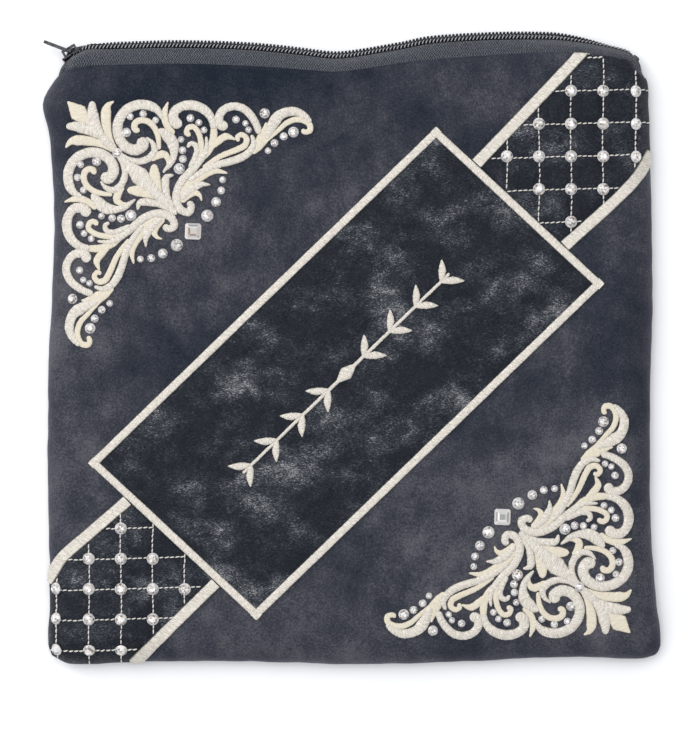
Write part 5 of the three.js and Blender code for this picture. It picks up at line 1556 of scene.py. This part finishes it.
for half in chain_rows:
    rows, length = measured_coil(half)
    turns = int(length[-1] / COIL_PITCH)
    points, faces = tube(coil_wire(rows, length, turns))
    add_piece("coil_" + half, points, faces, coil_nylon, "coil",
              replaces=["zipper_coil_" + half])
    points, faces = tube(coil_filling(half))
    add_piece("coil_core_" + half, points, faces, coil_core, "coil")
    loops = coil_sewing(rows, length, turns)
    points, faces = many_tubes(loops)
    uv = np.stack(np.meshgrid(np.linspace(0, 1.5, 5), np.linspace(0, .5, 5), indexing="ij"), -1)
    add_piece("coil_sewing_" + half, points, faces, seam_thread, "satin_thread",
              uv=np.broadcast_to(uv[None], (len(loops), *uv.shape)))
    print(half, "coil:", turns, "turns")

# %% [markdown]
# The two halves come together in the slider and go on past it as a short closed tail, which bends down
# into the seam at the bag's shoulder. It is one flattened, tapering tube of tape.

# %% Chain tail

TAIL_HALF_WIDTH, TAIL_HALF_HEIGHT = 1.5, 3.1
tail_points = [(-111.5, 127.6, 7.5), (-113.8, 126.4, 7.5), (-116.3, 124.4, 7.3), (-118.4, 121.6, 6.8),
               (-119.6, 118.2, 6.2), (-119.6, 114.5, 5.8)]
tail_path, tail_at = smooth_path(tail_points, .5)
ahead = unit(np.gradient(tail_path, axis=0))
beside = unit(np.cross(ahead, [0, 0, 1.0]))
rise = np.cross(beside, ahead)
angle = np.linspace(0, 2 * np.pi, 20, endpoint=False)
taper = np.interp(tail_at / tail_at[-1], [0, .55, 1], [1, .85, .35])[:, None, None]
high = TAIL_HALF_HEIGHT * np.sign(np.sin(angle)) * abs(np.sin(angle)) ** .6
ring = (beside[:, None] * (TAIL_HALF_WIDTH * np.cos(angle))[None, :, None]
        + rise[:, None] * high[None, :, None])
points, faces = tube(tail_path[:, None] + ring * taper)
uv = np.stack(np.broadcast_arrays(tail_at[:, None], 6.0 * np.sin(angle)[None]), -1)
add_piece("chain_tail", points, faces, zipper_tape, "zipper_tape", uv=uv)

# %% [markdown]
# ## Slider, tab and stops
# These are hard and already the right shape in the CAD model, but their edges are sharp. A copy of
# each mesh is merged, so that its faces share points, and gets a narrow rounded bevel.

# %% Metal pieces


def rounded_copy(name, node, body, width_mm):
    """A copy of a CAD node with its points merged and a bevel on its sharp edges."""
    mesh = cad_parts[node].data.copy()
    mesh.name = name
    piece = bpy.data.objects.new(name, mesh)
    scene.collection.objects.link(piece)
    work = bmesh.new()
    work.from_mesh(mesh)
    bmesh.ops.remove_doubles(work, verts=work.verts, dist=1e-6)
    bmesh.ops.dissolve_limit(work, angle_limit=np.radians(1), verts=work.verts, edges=work.edges)
    work.to_mesh(mesh)
    work.free()
    mesh.materials.clear()
    mesh.materials.append(dark_metal)
    mesh.polygons.foreach_set("use_smooth", np.ones(len(mesh.polygons), bool))
    bevel = piece.modifiers.new("rounded edges", "BEVEL")
    bevel.width = width_mm * MM
    bevel.segments = 2
    bevel.limit_method = "ANGLE"
    bevel.harden_normals = True
    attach(piece, body)
    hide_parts(node)
    print(name, len(mesh.polygons), "faces before its bevel")


SLIDER_EDGE, STOP_EDGE = 0.16, 0.3
rounded_copy("slider_body", "zipper_slider", BAG, SLIDER_EDGE)
rounded_copy("tab_plate", "pull_tab", TAB, SLIDER_EDGE)
rounded_copy("stop_front", "top_stop_front", BAG, STOP_EDGE)
rounded_copy("stop_back", "top_stop_back", BAG, STOP_EDGE)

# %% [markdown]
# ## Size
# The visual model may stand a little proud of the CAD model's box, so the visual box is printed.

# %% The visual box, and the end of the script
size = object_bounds()
print("visual box in mm:", [[round(v / MM, 1) for v in corner] for corner in size])
